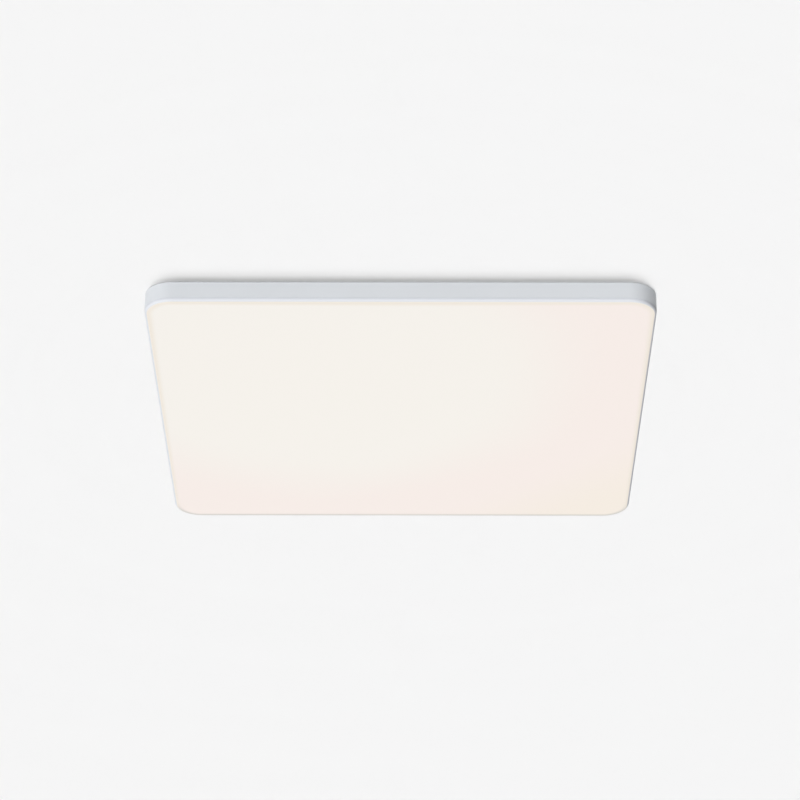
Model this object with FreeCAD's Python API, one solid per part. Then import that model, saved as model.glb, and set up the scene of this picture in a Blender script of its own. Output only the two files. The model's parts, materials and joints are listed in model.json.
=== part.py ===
import FreeCAD
import Part
import math
import os

# Square recessed LED panel light.
# The origin is the centre of the rim that seats against the ceiling, +Z is up into the ceiling,
# -Y is the front of the panel. All lengths are in millimetres.

Vec = FreeCAD.Vector
UP = Vec(0, 0, 1)
ORIGIN = Vec(0, 0, 0)

# Tray
panel_side = 225.0
corner_radius = 12.7
parting_chamfer = 0.15
rear_chamfer = 0.4
wall_thickness = 2.2
floor_thickness = 1.4
back_recess = 2.0
seat_width = 9.0
seat_inner_radius = 4.0
rib_drop = 0.5
rib_width = 1.6
rib_pitch = 8.8
rib_clearance = 2.0

# Ceiling seal
seal_inset = 3.0
seal_width = 3.0
seal_depth = 1.2

# Optical stack
reflector_thickness = 0.3
guide_thickness = 2.8
guide_edge_gap = 0.4
diffuser_thickness = 1.8
diffuser_edge = 1.6
foam_margin = 8.0
foam_corner = 6.0
foam_clearance = 0.4

# LED strips
strip_thickness = 1.0
strip_gap = 0.1
strip_end_room = 13.5
led_length = 3.0
led_width = 1.4
led_height = 0.8
led_pitch = 6.8

# Snap tabs of the diffuser
tab_width = 7.0
tab_thickness = 1.0
tab_height = 3.4
tab_hook = 0.5
hook_height = 1.2
tab_gap = 0.1
notch_room = 0.25

# Wires
wire_radius = 0.5
wire_spacing = 1.8
wire_bend = 1.5
jumper_radius = 0.5
jumper_overlap = 4.0
lead_hole_radius = 3.2
lead_bore_radius = 2.0
lead_flange_radius = 4.2
lead_flange_height = 0.8
lead_hole_inset = 7.5

# Clip rails
rail_width = 18.0
rail_thickness = 1.2
rail_margin = 2.0
rail_inset = 1.0
rail_gap = 0.1
rail_boss_side = 1.5
slot_width = 4.6
slot_end_room = 0.2
pocket_floor = 0.8
pocket_cover = 0.2
rail_screw_inset_x = 4.0
rail_screw_inset_y = 2.8
rail_screw_head_radius = 2.2
rail_screw_radius = 1.25
rail_screw_depth = 2.6

# Slide nut and thumb screw
nut_side = 7.0
nut_thickness = 1.7
nut_side_gap = 0.2
nut_depth_gap = 0.3
stud_radius = 2.0
stud_grip = 5.0
knob_radius = 5.5
knob_height = 6.5
knob_edge = 0.8
knob_scallops = 12
knob_scallop_radius = 1.0
thumb_setback = 14.5

# Clip bracket
bracket_thickness = 1.2
bracket_tail = 7.0
bracket_nose = 6.0
bracket_side = 0.7
bracket_corner = 2.0
pivot_rise = 10.25
ear_radius = 4.5
lug_length = 5.0
lug_setback = 1.0
lug_gap = 0.15
stop_half_width = 5.0

# Clip arm, pivot pin and tip pad
arm_thickness = 0.9
arm_half_width = 6.3
arm_drop = 4.1
arm_reach = 36.0
arm_web_start = 4.8
cheek_length = 22.0
eye_radius = 3.2
tongue_start = 27.0
tongue_half_width = 5.0
tongue_end_wall = 1.5
tongue_corner = 1.5
bead_start = 9.0
bead_length = 14.0
bead_radius = 1.5
bead_height = 0.6
pin_radius = 1.25
pin_head_radius = 2.3
pin_head_height = 0.8
pin_head_flat = 1.6
pad_side = 1.5
pad_under = 1.0
pad_over = 1.2
pad_edge = 0.6

# Clip spring
spring_wire = 1.0
spring_radius = 2.5
spring_pitch = 1.6
spring_turns = 4
spring_foot_reach = 6.6
spring_arm_reach = 16.0
spring_steps_per_turn = 4

# Driver case
case_width = 46.0
case_length = 112.0
case_height = 22.0
case_wall = 1.8
case_top = 2.0
case_corner = 4.0
case_edge = 1.5
case_pad_margin = 5.0
case_side_room = 5.5
chamber_length = 34.2
chamber_floor = 2.0
partition = 1.6
ear_length = 9.0
ear_half_width = 5.5
ear_thickness = 2.5
ear_offset = 14.0
ear_corner = 3.3
case_screw_radius = 1.5
case_screw_head_radius = 2.8
case_screw_head_height = 1.9
hold_down_width = 1.6
hold_down_reach = 2.7

# Terminal cover and its hinge
cover_thickness = 1.8
cover_gap = 0.2
knuckle_radius = 1.8
knuckle_length = 9.7
knuckle_reach = 2.6
knuckle_room = 3.0
lug_thickness = 3.0
hinge_half_length = 19.2
hinge_pin_radius = 1.0
shelf_thickness = 1.5
shelf_gap = 0.5
lip_half_width = 7.0
lip_reach = 2.5
lip_corner = 2.0
cover_rib_depth = 2.0
cover_rib_width = 1.2

# Cable inlet
inlet_floor_gap = 0.4
inlet_bore_radius = 3.75
inlet_neck_radius = 5.5
inlet_flange_radius = 7.2
inlet_flange_thickness = 1.5

# Driver board and what it carries
base_thickness = 1.2
base_gap = 0.3
post_radius = 2.5
post_inset = 4.0
board_lift = 3.5
board_thickness = 1.6
board_gap = 1.2
core_width = 20.0
core_length = 18.0
core_height = 13.0
core_leg = 3.5
winding_gap = 0.2
capacitor_radius = 5.0
capacitor_height = 13.0
capacitor_groove = 0.6
component_margin = 2.5
choke_radius = 4.8
choke_height = 11.0
choke_flange = 1.5
film_cap_width = 6.0
film_cap_length = 13.0
film_cap_height = 11.0
rectifier_size = (8.0, 6.5, 2.5)
controller_size = (5.0, 4.0, 1.6)
switch_size = (6.0, 3.2, 2.2)

# Terminal block
terminal_length = 15.0
terminal_height = 13.0
terminal_shoulder = 3.0
terminal_gap = 8.0
pole_count = 3
pole_pitch = 8.5
pole_side = 1.8
well_radius = 2.2
entry_radius = 1.6
entry_height = 5.5
clamp_width = 5.0
clamp_length = 8.8
clamp_height = 6.2
terminal_screw_radius = 1.9
terminal_screw_height = 4.2

# Screw heads, as shares of the head's radius or height
recess_reach = 0.6
recess_bar = 0.2
dome_rim = 1 / 3
dome_shoulder = 0.8

# Clearances shared by the fits
press_gap = 0.02
running_gap = 0.05
hole_gap = 0.3
contact_gap = 0.05

# Levels, from the ceiling seat at zero downwards
rail_top = -rib_drop
pocket_top = rail_top - rail_thickness
pocket_bottom = pocket_top - nut_thickness - nut_depth_gap
block_bottom = pocket_bottom - pocket_floor
floor_out = -back_recess
floor_in = floor_out - floor_thickness
reflector_back = block_bottom - pocket_cover
guide_back = reflector_back - reflector_thickness
diffuser_back = guide_back - guide_thickness
face = diffuser_back - diffuser_thickness
pad_top = -rib_drop

# Half sizes in plan
panel_half = panel_side / 2
inner_half = panel_half - wall_thickness
straight_half = panel_half - corner_radius
recess_half = panel_half - seat_width
guide_inset = wall_thickness + strip_thickness + led_height + guide_edge_gap
guide_half = panel_half - guide_inset
strip_half = straight_half - strip_end_room
foam_half = inner_half - foam_margin
case_half_width = case_width / 2
case_half_length = case_length / 2
pad_half_width = case_half_width + case_pad_margin
pad_half_length = case_half_length + ear_length + rib_clearance

# Clip places: the pivot's distance from the panel's centre, at both ends of the travel
rail_outer = recess_half - rail_inset
slot_outer = rail_outer - rail_margin
pivot_outer = slot_outer - slot_width / 2 - slot_end_room - lug_length + lug_setback
bracket_inner_reach = thumb_setback + bracket_tail
pivot_inner = case_half_width + case_side_room + bracket_inner_reach
pivot_rest = (pivot_inner + pivot_outer) / 2
slot_inner = pivot_inner - thumb_setback - stud_radius - hole_gap - slot_end_room
rail_inner = slot_inner - rail_margin
bracket_half_width = arm_half_width + hole_gap + bracket_thickness + bracket_side
ear_inner = arm_half_width + hole_gap
ear_outer = ear_inner + bracket_thickness

# Heights in the clip's own frame, whose origin is on the pivot axis
base_top = -pivot_rise
base_bottom = base_top - bracket_thickness
pivot_z = rail_top + contact_gap - base_bottom
web_top = -arm_drop
web_bottom = web_top - arm_thickness

# Heights of the driver
case_bottom = pad_top
case_roof = case_bottom + case_height
cover_bottom = case_roof - cover_thickness
chamber_rim = cover_bottom - cover_gap
hinge_z = case_roof - contact_gap - knuckle_radius
case_inner_half = case_half_width - case_wall
chamber_end = case_half_length - case_wall
partition_face = chamber_end - chamber_length
hinge_y = partition_face + knuckle_room
chamber_base = case_bottom + chamber_floor
inlet_z = chamber_base + inlet_flange_radius + inlet_floor_gap
board_bottom = case_bottom + board_lift
board_top = board_bottom + board_thickness
board_rear = partition_face - partition - board_gap
board_front = -case_half_length + case_wall + board_gap
board_half = case_inner_half - board_gap
lead_y = -case_half_length + lead_hole_inset


def rounded_outline(half_x, half_y, radius, z, centre_x=0.0, centre_y=0.0):
    """Closed wire of a rectangle with four rounded corners, level at z."""
    corners = [(1, -1), (1, 1), (-1, 1), (-1, -1)]
    edges = []
    ends = []
    for index, (sx, sy) in enumerate(corners):
        middle = Vec(centre_x + sx * (half_x - radius), centre_y + sy * (half_y - radius), z)
        start_angle = math.radians(90 * index - 90)
        points = []
        for step in (0, 1, 2):
            angle = start_angle + step * math.pi / 4
            points.append(middle + Vec(radius * math.cos(angle), radius * math.sin(angle), 0))
        ends.append(points)
    for index, points in enumerate(ends):
        edges.append(Part.Arc(*points).toShape())
        edges.append(Part.LineSegment(points[2], ends[(index + 1) % 4][0]).toShape())
    return Part.Wire(edges)


def slab(half_x, half_y, radius, z_low, z_high, centre_x=0.0, centre_y=0.0):
    """Flat plate with rounded corners."""
    outline = rounded_outline(half_x, half_y, radius, z_low, centre_x, centre_y)
    return Part.Face(outline).extrude(Vec(0, 0, z_high - z_low))


def block(x_low, x_high, y_low, y_high, z_low, z_high):
    return Part.makeBox(x_high - x_low, y_high - y_low, z_high - z_low, Vec(x_low, y_low, z_low))


def rod(radius, start, end):
    along = end - start
    return Part.makeCylinder(radius, along.Length, start, along)


def profile_x(points, x_low, x_high):
    """Outline of (y, z) corners, drawn out along X."""
    corners = [Vec(x_low, y, z) for y, z in points]
    return Part.Face(Part.makePolygon(corners + corners[:1])).extrude(Vec(x_high - x_low, 0, 0))


def turned(points):
    """Outline of (radius, height) corners, turned about Z."""
    corners = [Vec(radius, 0, height) for radius, height in points]
    return Part.Face(Part.makePolygon(corners + corners[:1])).revolve(ORIGIN, UP, 360)


def arch(half_width, z_low, z_centre, start, thickness, across):
    """Upright plate with a half-round top, square to X or Y, centred on zero along its width."""
    def corner(u, z):
        return Vec(start, u, z) if across == "x" else Vec(u, start, z)
    left = corner(-half_width, z_centre)
    top = corner(0, z_centre + half_width)
    right = corner(half_width, z_centre)
    edges = [
        Part.LineSegment(corner(-half_width, z_low), left).toShape(),
        Part.Arc(left, top, right).toShape(),
        Part.LineSegment(right, corner(half_width, z_low)).toShape(),
        Part.LineSegment(corner(half_width, z_low), corner(-half_width, z_low)).toShape(),
    ]
    along = Vec(thickness, 0, 0) if across == "x" else Vec(0, thickness, 0)
    return Part.Face(Part.Wire(edges)).extrude(along)


def obround(half_length, half_width, z_low, z_high, centre_x):
    """Plate with half-round ends, long along X."""
    straight = half_length - half_width
    ends = [
        [Vec(centre_x + side * straight, -side * half_width, z_low),
         Vec(centre_x + side * half_length, 0, z_low),
         Vec(centre_x + side * straight, side * half_width, z_low)]
        for side in (1, -1)
    ]
    edges = [Part.Arc(*points).toShape() for points in ends]
    edges.insert(1, Part.LineSegment(ends[0][2], ends[1][0]).toShape())
    edges.append(Part.LineSegment(ends[1][2], ends[0][0]).toShape())
    return Part.Face(Part.Wire(edges)).extrude(Vec(0, 0, z_high - z_low))


def level_edges(shape, z):
    """Edges of a shape that lie level at z."""
    return [e for e in shape.Edges if all(abs(v.Z - z) < 1e-6 for v in e.Vertexes)]


def joined(shapes):
    first, *rest = shapes
    return first.fuse(rest).removeSplitter()


def quarter_turns(shape, count=4):
    """Copies of a shape at quarter turns about Z, front, right, rear, left."""
    return [shape.rotated(ORIGIN, UP, 90 * index) for index in range(count)]


def cross_recess(z_top, depth, head_radius):
    """Cross-shaped driver recess cut into a screw head."""
    reach = head_radius * recess_reach
    bar_half = head_radius * recess_bar / 2
    bar = block(-reach, reach, -bar_half, bar_half, z_top - depth, z_top + depth)
    return joined([bar, bar.rotated(ORIGIN, UP, 90)])


def pan_screw(head_radius, head_height, radius, length):
    """Screw with a domed head, underside of the head at zero."""
    rim = Vec(head_radius, 0, head_height * dome_rim)
    shoulder = Vec(head_radius * math.cos(math.pi / 4), 0, head_height * dome_shoulder)
    crown = Vec(0, 0, head_height)
    tip = [Vec(0, 0, -length), Vec(radius, 0, -length)]
    corners = [crown] + tip + [Vec(radius, 0, 0), Vec(head_radius, 0, 0), rim]
    edges = [Part.LineSegment(a, b).toShape() for a, b in zip(corners, corners[1:])]
    edges.append(Part.Arc(rim, shoulder, crown).toShape())
    screw = Part.Face(Part.Wire(edges)).revolve(ORIGIN, UP, 360)
    return screw.cut(cross_recess(head_height, head_height / 2, head_radius))


def flat_screw(head_radius, head_height, radius, length):
    """Countersunk screw, top of the head at zero."""
    screw = turned([(0, 0), (head_radius, 0), (radius, -head_height), (radius, -length), (0, -length)])
    return screw.cut(cross_recess(0, head_height / 2, head_radius))


def tangent_point(point, radius, turn):
    """Where the line from an outer (x, z) point touches a circle about zero; turn picks the side."""
    distance = math.hypot(*point)
    angle = math.atan2(point[1], point[0]) + turn * math.acos(radius / distance)
    return (radius * math.cos(angle), radius * math.sin(angle))


def wire_tube(edges, radius):
    """Round solid along a path of lines and arcs."""
    path = Part.Wire(edges)
    start = path.Edges[0].valueAt(path.Edges[0].FirstParameter)
    along = path.Edges[0].tangentAt(path.Edges[0].FirstParameter)
    section = Part.Wire(Part.Circle(start, along, radius).toShape())
    shell = Part.BRepOffsetAPI.MakePipeShell(path)
    shell.add(section)
    shell.build()
    shell.makeSolid()
    return shell.shape()


def line_edge(start, end):
    return Part.LineSegment(start, end).toShape()


def arc_edge(start, direction, end):
    """Arc that leaves start along direction and ends at end."""
    chord = end - start
    unit = Vec(chord).normalize()
    side = direction - unit * direction.dot(unit)
    half_angle = math.acos(max(-1.0, min(1.0, direction.dot(unit))))
    rise = Vec(side).normalize() * (chord.Length / 2 * math.tan(half_angle / 2))
    return Part.Arc(start, (start + end) * 0.5 + rise, end).toShape()


def biarc_edges(start, direction, end, end_direction):
    """Two arcs that join two points and keep the direction at both."""
    across = end - start
    both = direction + end_direction
    spread = 2 * (1 - direction.dot(end_direction))
    lead = across.dot(both)
    reach = (math.sqrt(lead * lead + spread * across.dot(across)) - lead) / spread
    middle = (start + direction * reach + end - end_direction * reach) * 0.5
    bridge = (end - end_direction * reach - start - direction * reach).normalize()
    return [arc_edge(start, direction, middle), arc_edge(middle, bridge, end)]


def square_tools(shape_for_front, offsets):
    """Copies along X of a shape on the front wall, repeated on all four walls."""
    shapes = []
    for offset in offsets:
        shapes.extend(quarter_turns(shape_for_front.translated(Vec(offset, 0, 0))))
    return shapes


# Places shared by several pieces
tab_offset = (strip_half + straight_half) / 2
tab_offsets = (-tab_offset, tab_offset)
hook_top = diffuser_back + tab_height
hook_bottom = hook_top - hook_height
rail_screw_places = [
    (x, y)
    for x in (rail_inner + rail_screw_inset_x, rail_outer - rail_screw_inset_x)
    for y in (-rail_width / 2 + rail_screw_inset_y, rail_width / 2 - rail_screw_inset_y)
]
case_screw_places = [
    (x, y)
    for x in (-ear_offset, ear_offset)
    for y in (-case_half_length - ear_length / 2, case_half_length + ear_length / 2)
]
case_screw_length = ear_thickness + pad_top - floor_in - contact_gap


def both_sides(shape):
    """A piece on the right and its copy on the left, half a turn away."""
    return [shape, shape.rotated(ORIGIN, UP, 180)]


def make_housing():
    """Cast tray: side wall that the diffuser caps, ribbed back, rail pockets and seat rim."""
    outside = slab(panel_half, panel_half, corner_radius, diffuser_back, 0)
    outside = outside.makeChamfer(parting_chamfer, level_edges(outside, diffuser_back))
    outside = outside.makeChamfer(rear_chamfer, level_edges(outside, 0))
    cavity = slab(inner_half, inner_half, corner_radius - wall_thickness, diffuser_back, floor_in)
    recess = slab(recess_half, recess_half, seat_inner_radius, floor_out, seal_depth)
    tray = outside.cut([cavity, recess])

    rib_reach = recess_half + rib_drop
    rib_count = int((recess_half - rib_clearance) // rib_pitch)
    ribs = [
        block(-rib_reach, rib_reach, y - rib_width / 2, y + rib_width / 2, floor_in + rib_drop, pad_top)
        for y in (rib_pitch * index for index in range(-rib_count, rib_count + 1))
        if abs(y) > rail_width / 2 + rail_boss_side + rib_clearance
    ]
    driver_pad = slab(pad_half_width, pad_half_length, case_corner, floor_in + rib_drop, pad_top)
    boss_half = rail_width / 2 + rail_boss_side
    boss_start = pad_half_width - rib_clearance
    boss = block(boss_start, rib_reach, -boss_half, boss_half, floor_in + rib_drop, pad_top)
    pocket_block = block(rail_inner, rail_outer, -rail_width / 2, rail_width / 2, block_bottom, pocket_top)
    tray = joined([tray, driver_pad] + both_sides(boss) + both_sides(pocket_block) + ribs)

    plate_seat = block(
        rail_inner - rail_gap, rail_outer + rail_gap,
        -rail_width / 2 - rail_gap, rail_width / 2 + rail_gap,
        pocket_top, seal_depth,
    )
    nut_half = nut_side / 2 + nut_side_gap
    pocket = block(
        pivot_inner - thumb_setback - nut_half, pivot_outer - thumb_setback + nut_half,
        -nut_half, nut_half, pocket_bottom, seal_depth,
    )
    cuts = both_sides(plate_seat) + both_sides(pocket)
    for x, y in rail_screw_places:
        bottom = pocket_top - rail_screw_depth - hole_gap
        hole = rod(rail_screw_radius + press_gap, Vec(x, y, bottom), Vec(x, y, pad_top))
        cuts.extend(both_sides(hole))
    for x, y in case_screw_places:
        cuts.append(rod(case_screw_radius + press_gap, Vec(x, y, floor_in - hole_gap), Vec(x, y, seal_depth)))
    cuts.append(rod(lead_hole_radius + press_gap, Vec(0, lead_y, face), Vec(0, lead_y, seal_depth)))
    outer = panel_half - seal_inset
    inner = outer - seal_width
    groove = slab(outer, outer, corner_radius - seal_inset, -seal_depth, seal_depth).cut(
        slab(inner, inner, corner_radius - seal_inset - seal_width, -seal_depth, seal_depth))
    cuts.append(groove)
    notch_half = tab_width / 2 + notch_room
    notch = block(
        -notch_half, notch_half,
        -inner_half - tab_hook - notch_room, -inner_half + notch_room,
        hook_bottom - notch_room, hook_top + notch_room,
    )
    cuts.extend(square_tools(notch, tab_offsets))
    return tray.cut(cuts)


def make_ceiling_seal():
    outer = panel_half - seal_inset - contact_gap
    inner = panel_half - seal_inset - seal_width + contact_gap
    outer_radius = corner_radius - seal_inset - contact_gap
    inner_radius = corner_radius - seal_inset - seal_width + contact_gap
    body = slab(outer, outer, outer_radius, -seal_depth, 0)
    return body.cut(slab(inner, inner, inner_radius, -seal_depth, 0))


def make_diffuser():
    """Opal cap over the whole front, with a rounded edge and eight snap tabs."""
    plate = slab(panel_half, panel_half, corner_radius, face, diffuser_back)
    plate = plate.makeFillet(diffuser_edge, level_edges(plate, face))
    tab_outer = -inner_half + tab_gap
    tab = profile_x(
        [
            (tab_outer, diffuser_back - diffuser_thickness / 2),
            (tab_outer, hook_bottom),
            (tab_outer - tab_hook, hook_bottom),
            (tab_outer - tab_hook, hook_bottom + hook_height / 3),
            (tab_outer, hook_top),
            (tab_outer + tab_thickness, hook_top),
            (tab_outer + tab_thickness, diffuser_back - diffuser_thickness / 2),
        ],
        -tab_width / 2,
        tab_width / 2,
    )
    return joined([plate] + square_tools(tab, tab_offsets))


def make_light_guide():
    return slab(guide_half, guide_half, corner_radius - guide_inset, diffuser_back, guide_back)


def make_reflector_sheet():
    return slab(guide_half, guide_half, corner_radius - guide_inset, guide_back, reflector_back)


def make_foam_pad():
    """Foam behind the reflector, with windows for the rail pockets and a channel for the leads."""
    pad = slab(foam_half, foam_half, foam_corner, reflector_back, floor_in)
    window = block(
        rail_inner - foam_clearance, rail_outer + foam_clearance + foam_half,
        -rail_width / 2 - foam_clearance, rail_width / 2 + foam_clearance,
        reflector_back, floor_in,
    )
    channel_half = wire_spacing / 2 + wire_radius + foam_clearance
    channel = block(-channel_half, channel_half, -panel_half, lead_y + channel_half, reflector_back, floor_in)
    return pad.cut(both_sides(window) + [channel])


def make_led_strip():
    """Board on the front wall."""
    return block(
        -strip_half, strip_half,
        -inner_half, -inner_half + strip_thickness,
        diffuser_back + strip_gap, floor_in - strip_gap,
    )


def make_leds():
    """Row of LEDs on the front board, level with the middle of the light guide."""
    count = int((2 * strip_half - led_length) // led_pitch) + 1
    middle = (guide_back + diffuser_back) / 2
    board_face = -inner_half + strip_thickness
    led = block(
        -led_length / 2, led_length / 2,
        board_face, board_face + led_height,
        middle - led_width / 2, middle + led_width / 2,
    )
    first = -led_pitch * (count - 1) / 2
    return Part.makeCompound([led.translated(Vec(first + led_pitch * index, 0, 0)) for index in range(count)])


def lead_level():
    """Height of the wires between the floor and the reflector."""
    return (floor_in + reflector_back) / 2


def make_strip_jumpers():
    """Wires round three corners, each from the end of one strip to the start of the next."""
    z = lead_level()
    across = inner_half - strip_thickness - jumper_radius - contact_gap
    start = strip_half - jumper_overlap
    bend = across - straight_half
    middle = straight_half + bend * math.cos(math.pi / 4)
    corner = [
        line_edge(Vec(start, -across, z), Vec(straight_half, -across, z)),
        Part.Arc(
            Vec(straight_half, -across, z), Vec(middle, -middle, z), Vec(across, -straight_half, z)
        ).toShape(),
        line_edge(Vec(across, -straight_half, z), Vec(across, -start, z)),
    ]
    return Part.makeCompound(quarter_turns(wire_tube(corner, jumper_radius), 3))


def make_output_leads():
    """Two wires from the driver board down through the floor and forward to the front strip."""
    z = lead_level()
    end = -inner_half + strip_thickness
    bend_middle = wire_bend * (1 - math.cos(math.pi / 4))
    leads = []
    for x in (-wire_spacing / 2, wire_spacing / 2):
        path = [
            line_edge(Vec(x, lead_y, board_bottom), Vec(x, lead_y, z + wire_bend)),
            Part.Arc(
                Vec(x, lead_y, z + wire_bend),
                Vec(x, lead_y - bend_middle, z + bend_middle),
                Vec(x, lead_y - wire_bend, z),
            ).toShape(),
            line_edge(Vec(x, lead_y - wire_bend, z), Vec(x, end, z)),
        ]
        leads.append(wire_tube(path, wire_radius))
    return Part.makeCompound(leads)


def make_lead_grommet():
    """Bush with one flange, pushed into the floor from the back."""
    top = pad_top + lead_flange_height
    bush = turned([
        (lead_bore_radius, floor_in),
        (lead_hole_radius, floor_in),
        (lead_hole_radius, pad_top),
        (lead_flange_radius, pad_top),
        (lead_flange_radius, top),
        (lead_bore_radius, top),
    ])
    return bush.translated(Vec(0, lead_y, 0))


def make_rail_plate():
    """Slotted steel plate over the right pocket."""
    plate = block(rail_inner, rail_outer, -rail_width / 2, rail_width / 2, pocket_top, rail_top)
    slot_half = (slot_outer - slot_inner) / 2
    slot_middle = (slot_outer + slot_inner) / 2
    slot = obround(slot_half, slot_width / 2, pocket_top, rail_top, slot_middle)
    sink = turned([
        (0, 0),
        (rail_screw_head_radius + running_gap, 0),
        (rail_screw_radius + running_gap, -rail_thickness),
        (0, -rail_thickness),
    ])
    sinks = [sink.translated(Vec(x, y, rail_top)) for x, y in rail_screw_places]
    return plate.cut([slot] + sinks)


def make_rail_screws():
    length = rail_thickness + rail_screw_depth
    screw = flat_screw(rail_screw_head_radius, rail_thickness, rail_screw_radius, length)
    right = Part.makeCompound([screw.translated(Vec(x, y, rail_top)) for x, y in rail_screw_places])
    return Part.makeCompound([s for side in both_sides(right) for s in side.Solids])


def in_place(shape):
    """Moves a piece from the clip's own frame to the right clip's rest place."""
    return shape.translated(Vec(pivot_rest, 0, pivot_z))


def make_clip_bracket():
    """Pressed bracket: base with a thumb-screw hole, two ears, a stop and a lug that runs in the slot."""
    middle = (bracket_nose - bracket_inner_reach) / 2
    half_length = (bracket_nose + bracket_inner_reach) / 2
    base = slab(half_length, bracket_half_width, bracket_corner, base_bottom, base_top, middle, 0)
    ears = [
        arch(ear_radius, base_bottom, 0, y, bracket_thickness, "y")
        for y in (-ear_outer, ear_inner)
    ]
    stop = block(
        bracket_nose - bracket_thickness, bracket_nose,
        -stop_half_width, stop_half_width, base_bottom, web_bottom - contact_gap,
    )
    lug_half = slot_width / 2 - lug_gap
    lug = block(
        -lug_setback, lug_length - lug_setback, -lug_half, lug_half,
        base_bottom - rail_thickness + lug_gap, base_top,
    )
    body = joined([base, stop, lug] + ears)
    pin_hole = rod(pin_radius + press_gap, Vec(0, -ear_outer, 0), Vec(0, ear_outer, 0))
    thumb_hole = rod(
        stud_radius + hole_gap, Vec(-thumb_setback, 0, base_bottom), Vec(-thumb_setback, 0, base_top))
    return in_place(body.cut([pin_hole, thumb_hole]))


def make_clip_nut():
    """Square nut that runs in the pocket under the rail plate."""
    top = base_bottom - contact_gap - rail_thickness - contact_gap
    nut = block(
        -thumb_setback - nut_side / 2, -thumb_setback + nut_side / 2,
        -nut_side / 2, nut_side / 2, top - nut_thickness, top,
    )
    bore = rod(
        stud_radius + running_gap,
        Vec(-thumb_setback, 0, top - nut_thickness), Vec(-thumb_setback, 0, top),
    )
    return in_place(nut.cut(bore))


def make_thumb_stud():
    low = base_bottom - 2 * contact_gap - rail_thickness - nut_thickness
    high = base_top + contact_gap + stud_grip
    return in_place(rod(stud_radius, Vec(-thumb_setback, 0, low), Vec(-thumb_setback, 0, high)))


def make_thumb_knob():
    """Moulded knob with finger scallops, pressed on the stud."""
    low = base_top + contact_gap
    high = low + knob_height
    body = turned([
        (0, 0),
        (knob_radius - knob_edge, 0),
        (knob_radius, knob_edge),
        (knob_radius, knob_height - knob_edge),
        (knob_radius - knob_edge, knob_height),
        (0, knob_height),
    ])
    scallop_axis = knob_radius + knob_scallop_radius / 2
    scallop = rod(knob_scallop_radius, Vec(scallop_axis, 0, 0), Vec(scallop_axis, 0, knob_height))
    turn = 360 / knob_scallops
    cuts = [scallop.rotated(ORIGIN, UP, turn * index) for index in range(knob_scallops)]
    cuts.append(rod(stud_radius + press_gap, ORIGIN, Vec(0, 0, stud_grip + contact_gap)))
    return in_place(body.cut(cuts).translated(Vec(-thumb_setback, 0, low)))


def make_clip_pin():
    """Rivet through the bracket's ears, headed at both ends."""
    head = ear_outer + pin_head_height
    rivet = turned([
        (0, -head),
        (pin_head_flat, -head),
        (pin_head_radius, -ear_outer - pin_head_height / 2),
        (pin_head_radius, -ear_outer),
        (pin_radius, -ear_outer),
        (pin_radius, ear_outer),
        (pin_head_radius, ear_outer),
        (pin_head_radius, ear_outer + pin_head_height / 2),
        (pin_head_flat, head),
        (0, head),
    ])
    return in_place(rivet.rotated(ORIGIN, Vec(1, 0, 0), 90))


def tongue_outer():
    return arm_reach - tongue_end_wall


def make_clip_arm():
    """Pressed arm: two cheeks with pivot eyes, a web with a stiffening bead and a tongue for the pad."""
    outline = [
        (arm_web_start, -arm_half_width),
        (cheek_length, -arm_half_width),
        (tongue_start, -tongue_half_width),
        (tongue_outer() - tongue_corner, -tongue_half_width),
        (tongue_outer(), -tongue_half_width + tongue_corner),
    ]
    outline += [(x, -y) for x, y in reversed(outline)]
    corners = [Vec(x, y, web_bottom) for x, y in outline]
    web = Part.Face(Part.makePolygon(corners + corners[:1])).extrude(Vec(0, 0, arm_thickness))
    bead_middle = bead_start + bead_length / 2
    bead = obround(bead_length / 2, bead_radius, web_top - bead_height, web_top + bead_height, bead_middle)
    dent = obround(
        bead_length / 2 - bead_height, bead_radius - bead_height,
        web_bottom, web_bottom + bead_height, bead_middle)

    upper = tangent_point((cheek_length, web_top), eye_radius, 1)
    lower = tangent_point((arm_web_start, web_bottom), eye_radius, -1)
    cheeks = []
    for y in (-arm_half_width, arm_half_width - arm_thickness):
        foot = [(arm_web_start, web_bottom), (cheek_length, web_bottom), (cheek_length, web_top)]
        points = [Vec(x, y, z) for x, z in [lower] + foot + [upper]]
        edges = [line_edge(a, b) for a, b in zip(points, points[1:])]
        edges.append(Part.Arc(points[-1], Vec(-eye_radius, y, 0), points[0]).toShape())
        cheeks.append(Part.Face(Part.Wire(edges)).extrude(Vec(0, arm_thickness, 0)))
    body = joined([web, bead] + cheeks)
    eye = rod(pin_radius + running_gap, Vec(0, -arm_half_width, 0), Vec(0, arm_half_width, 0))
    return in_place(body.cut([eye, dent]))


def make_clip_pad():
    """Rubber shoe pushed over the arm's tongue."""
    half_length = (arm_reach - tongue_start) / 2
    middle = (arm_reach + tongue_start) / 2
    half_width = tongue_half_width + pad_side
    shoe = slab(half_length, half_width, tongue_corner, web_bottom - pad_under, web_top + pad_over, middle, 0)
    shoe = shoe.makeChamfer(pad_edge, level_edges(shoe, web_top + pad_over))
    slot_half = tongue_half_width + contact_gap
    slot = block(
        tongue_start - tongue_half_width, tongue_outer() + contact_gap,
        -slot_half, slot_half, web_bottom - contact_gap, web_top + contact_gap,
    )
    return in_place(shoe.cut(slot))


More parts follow.
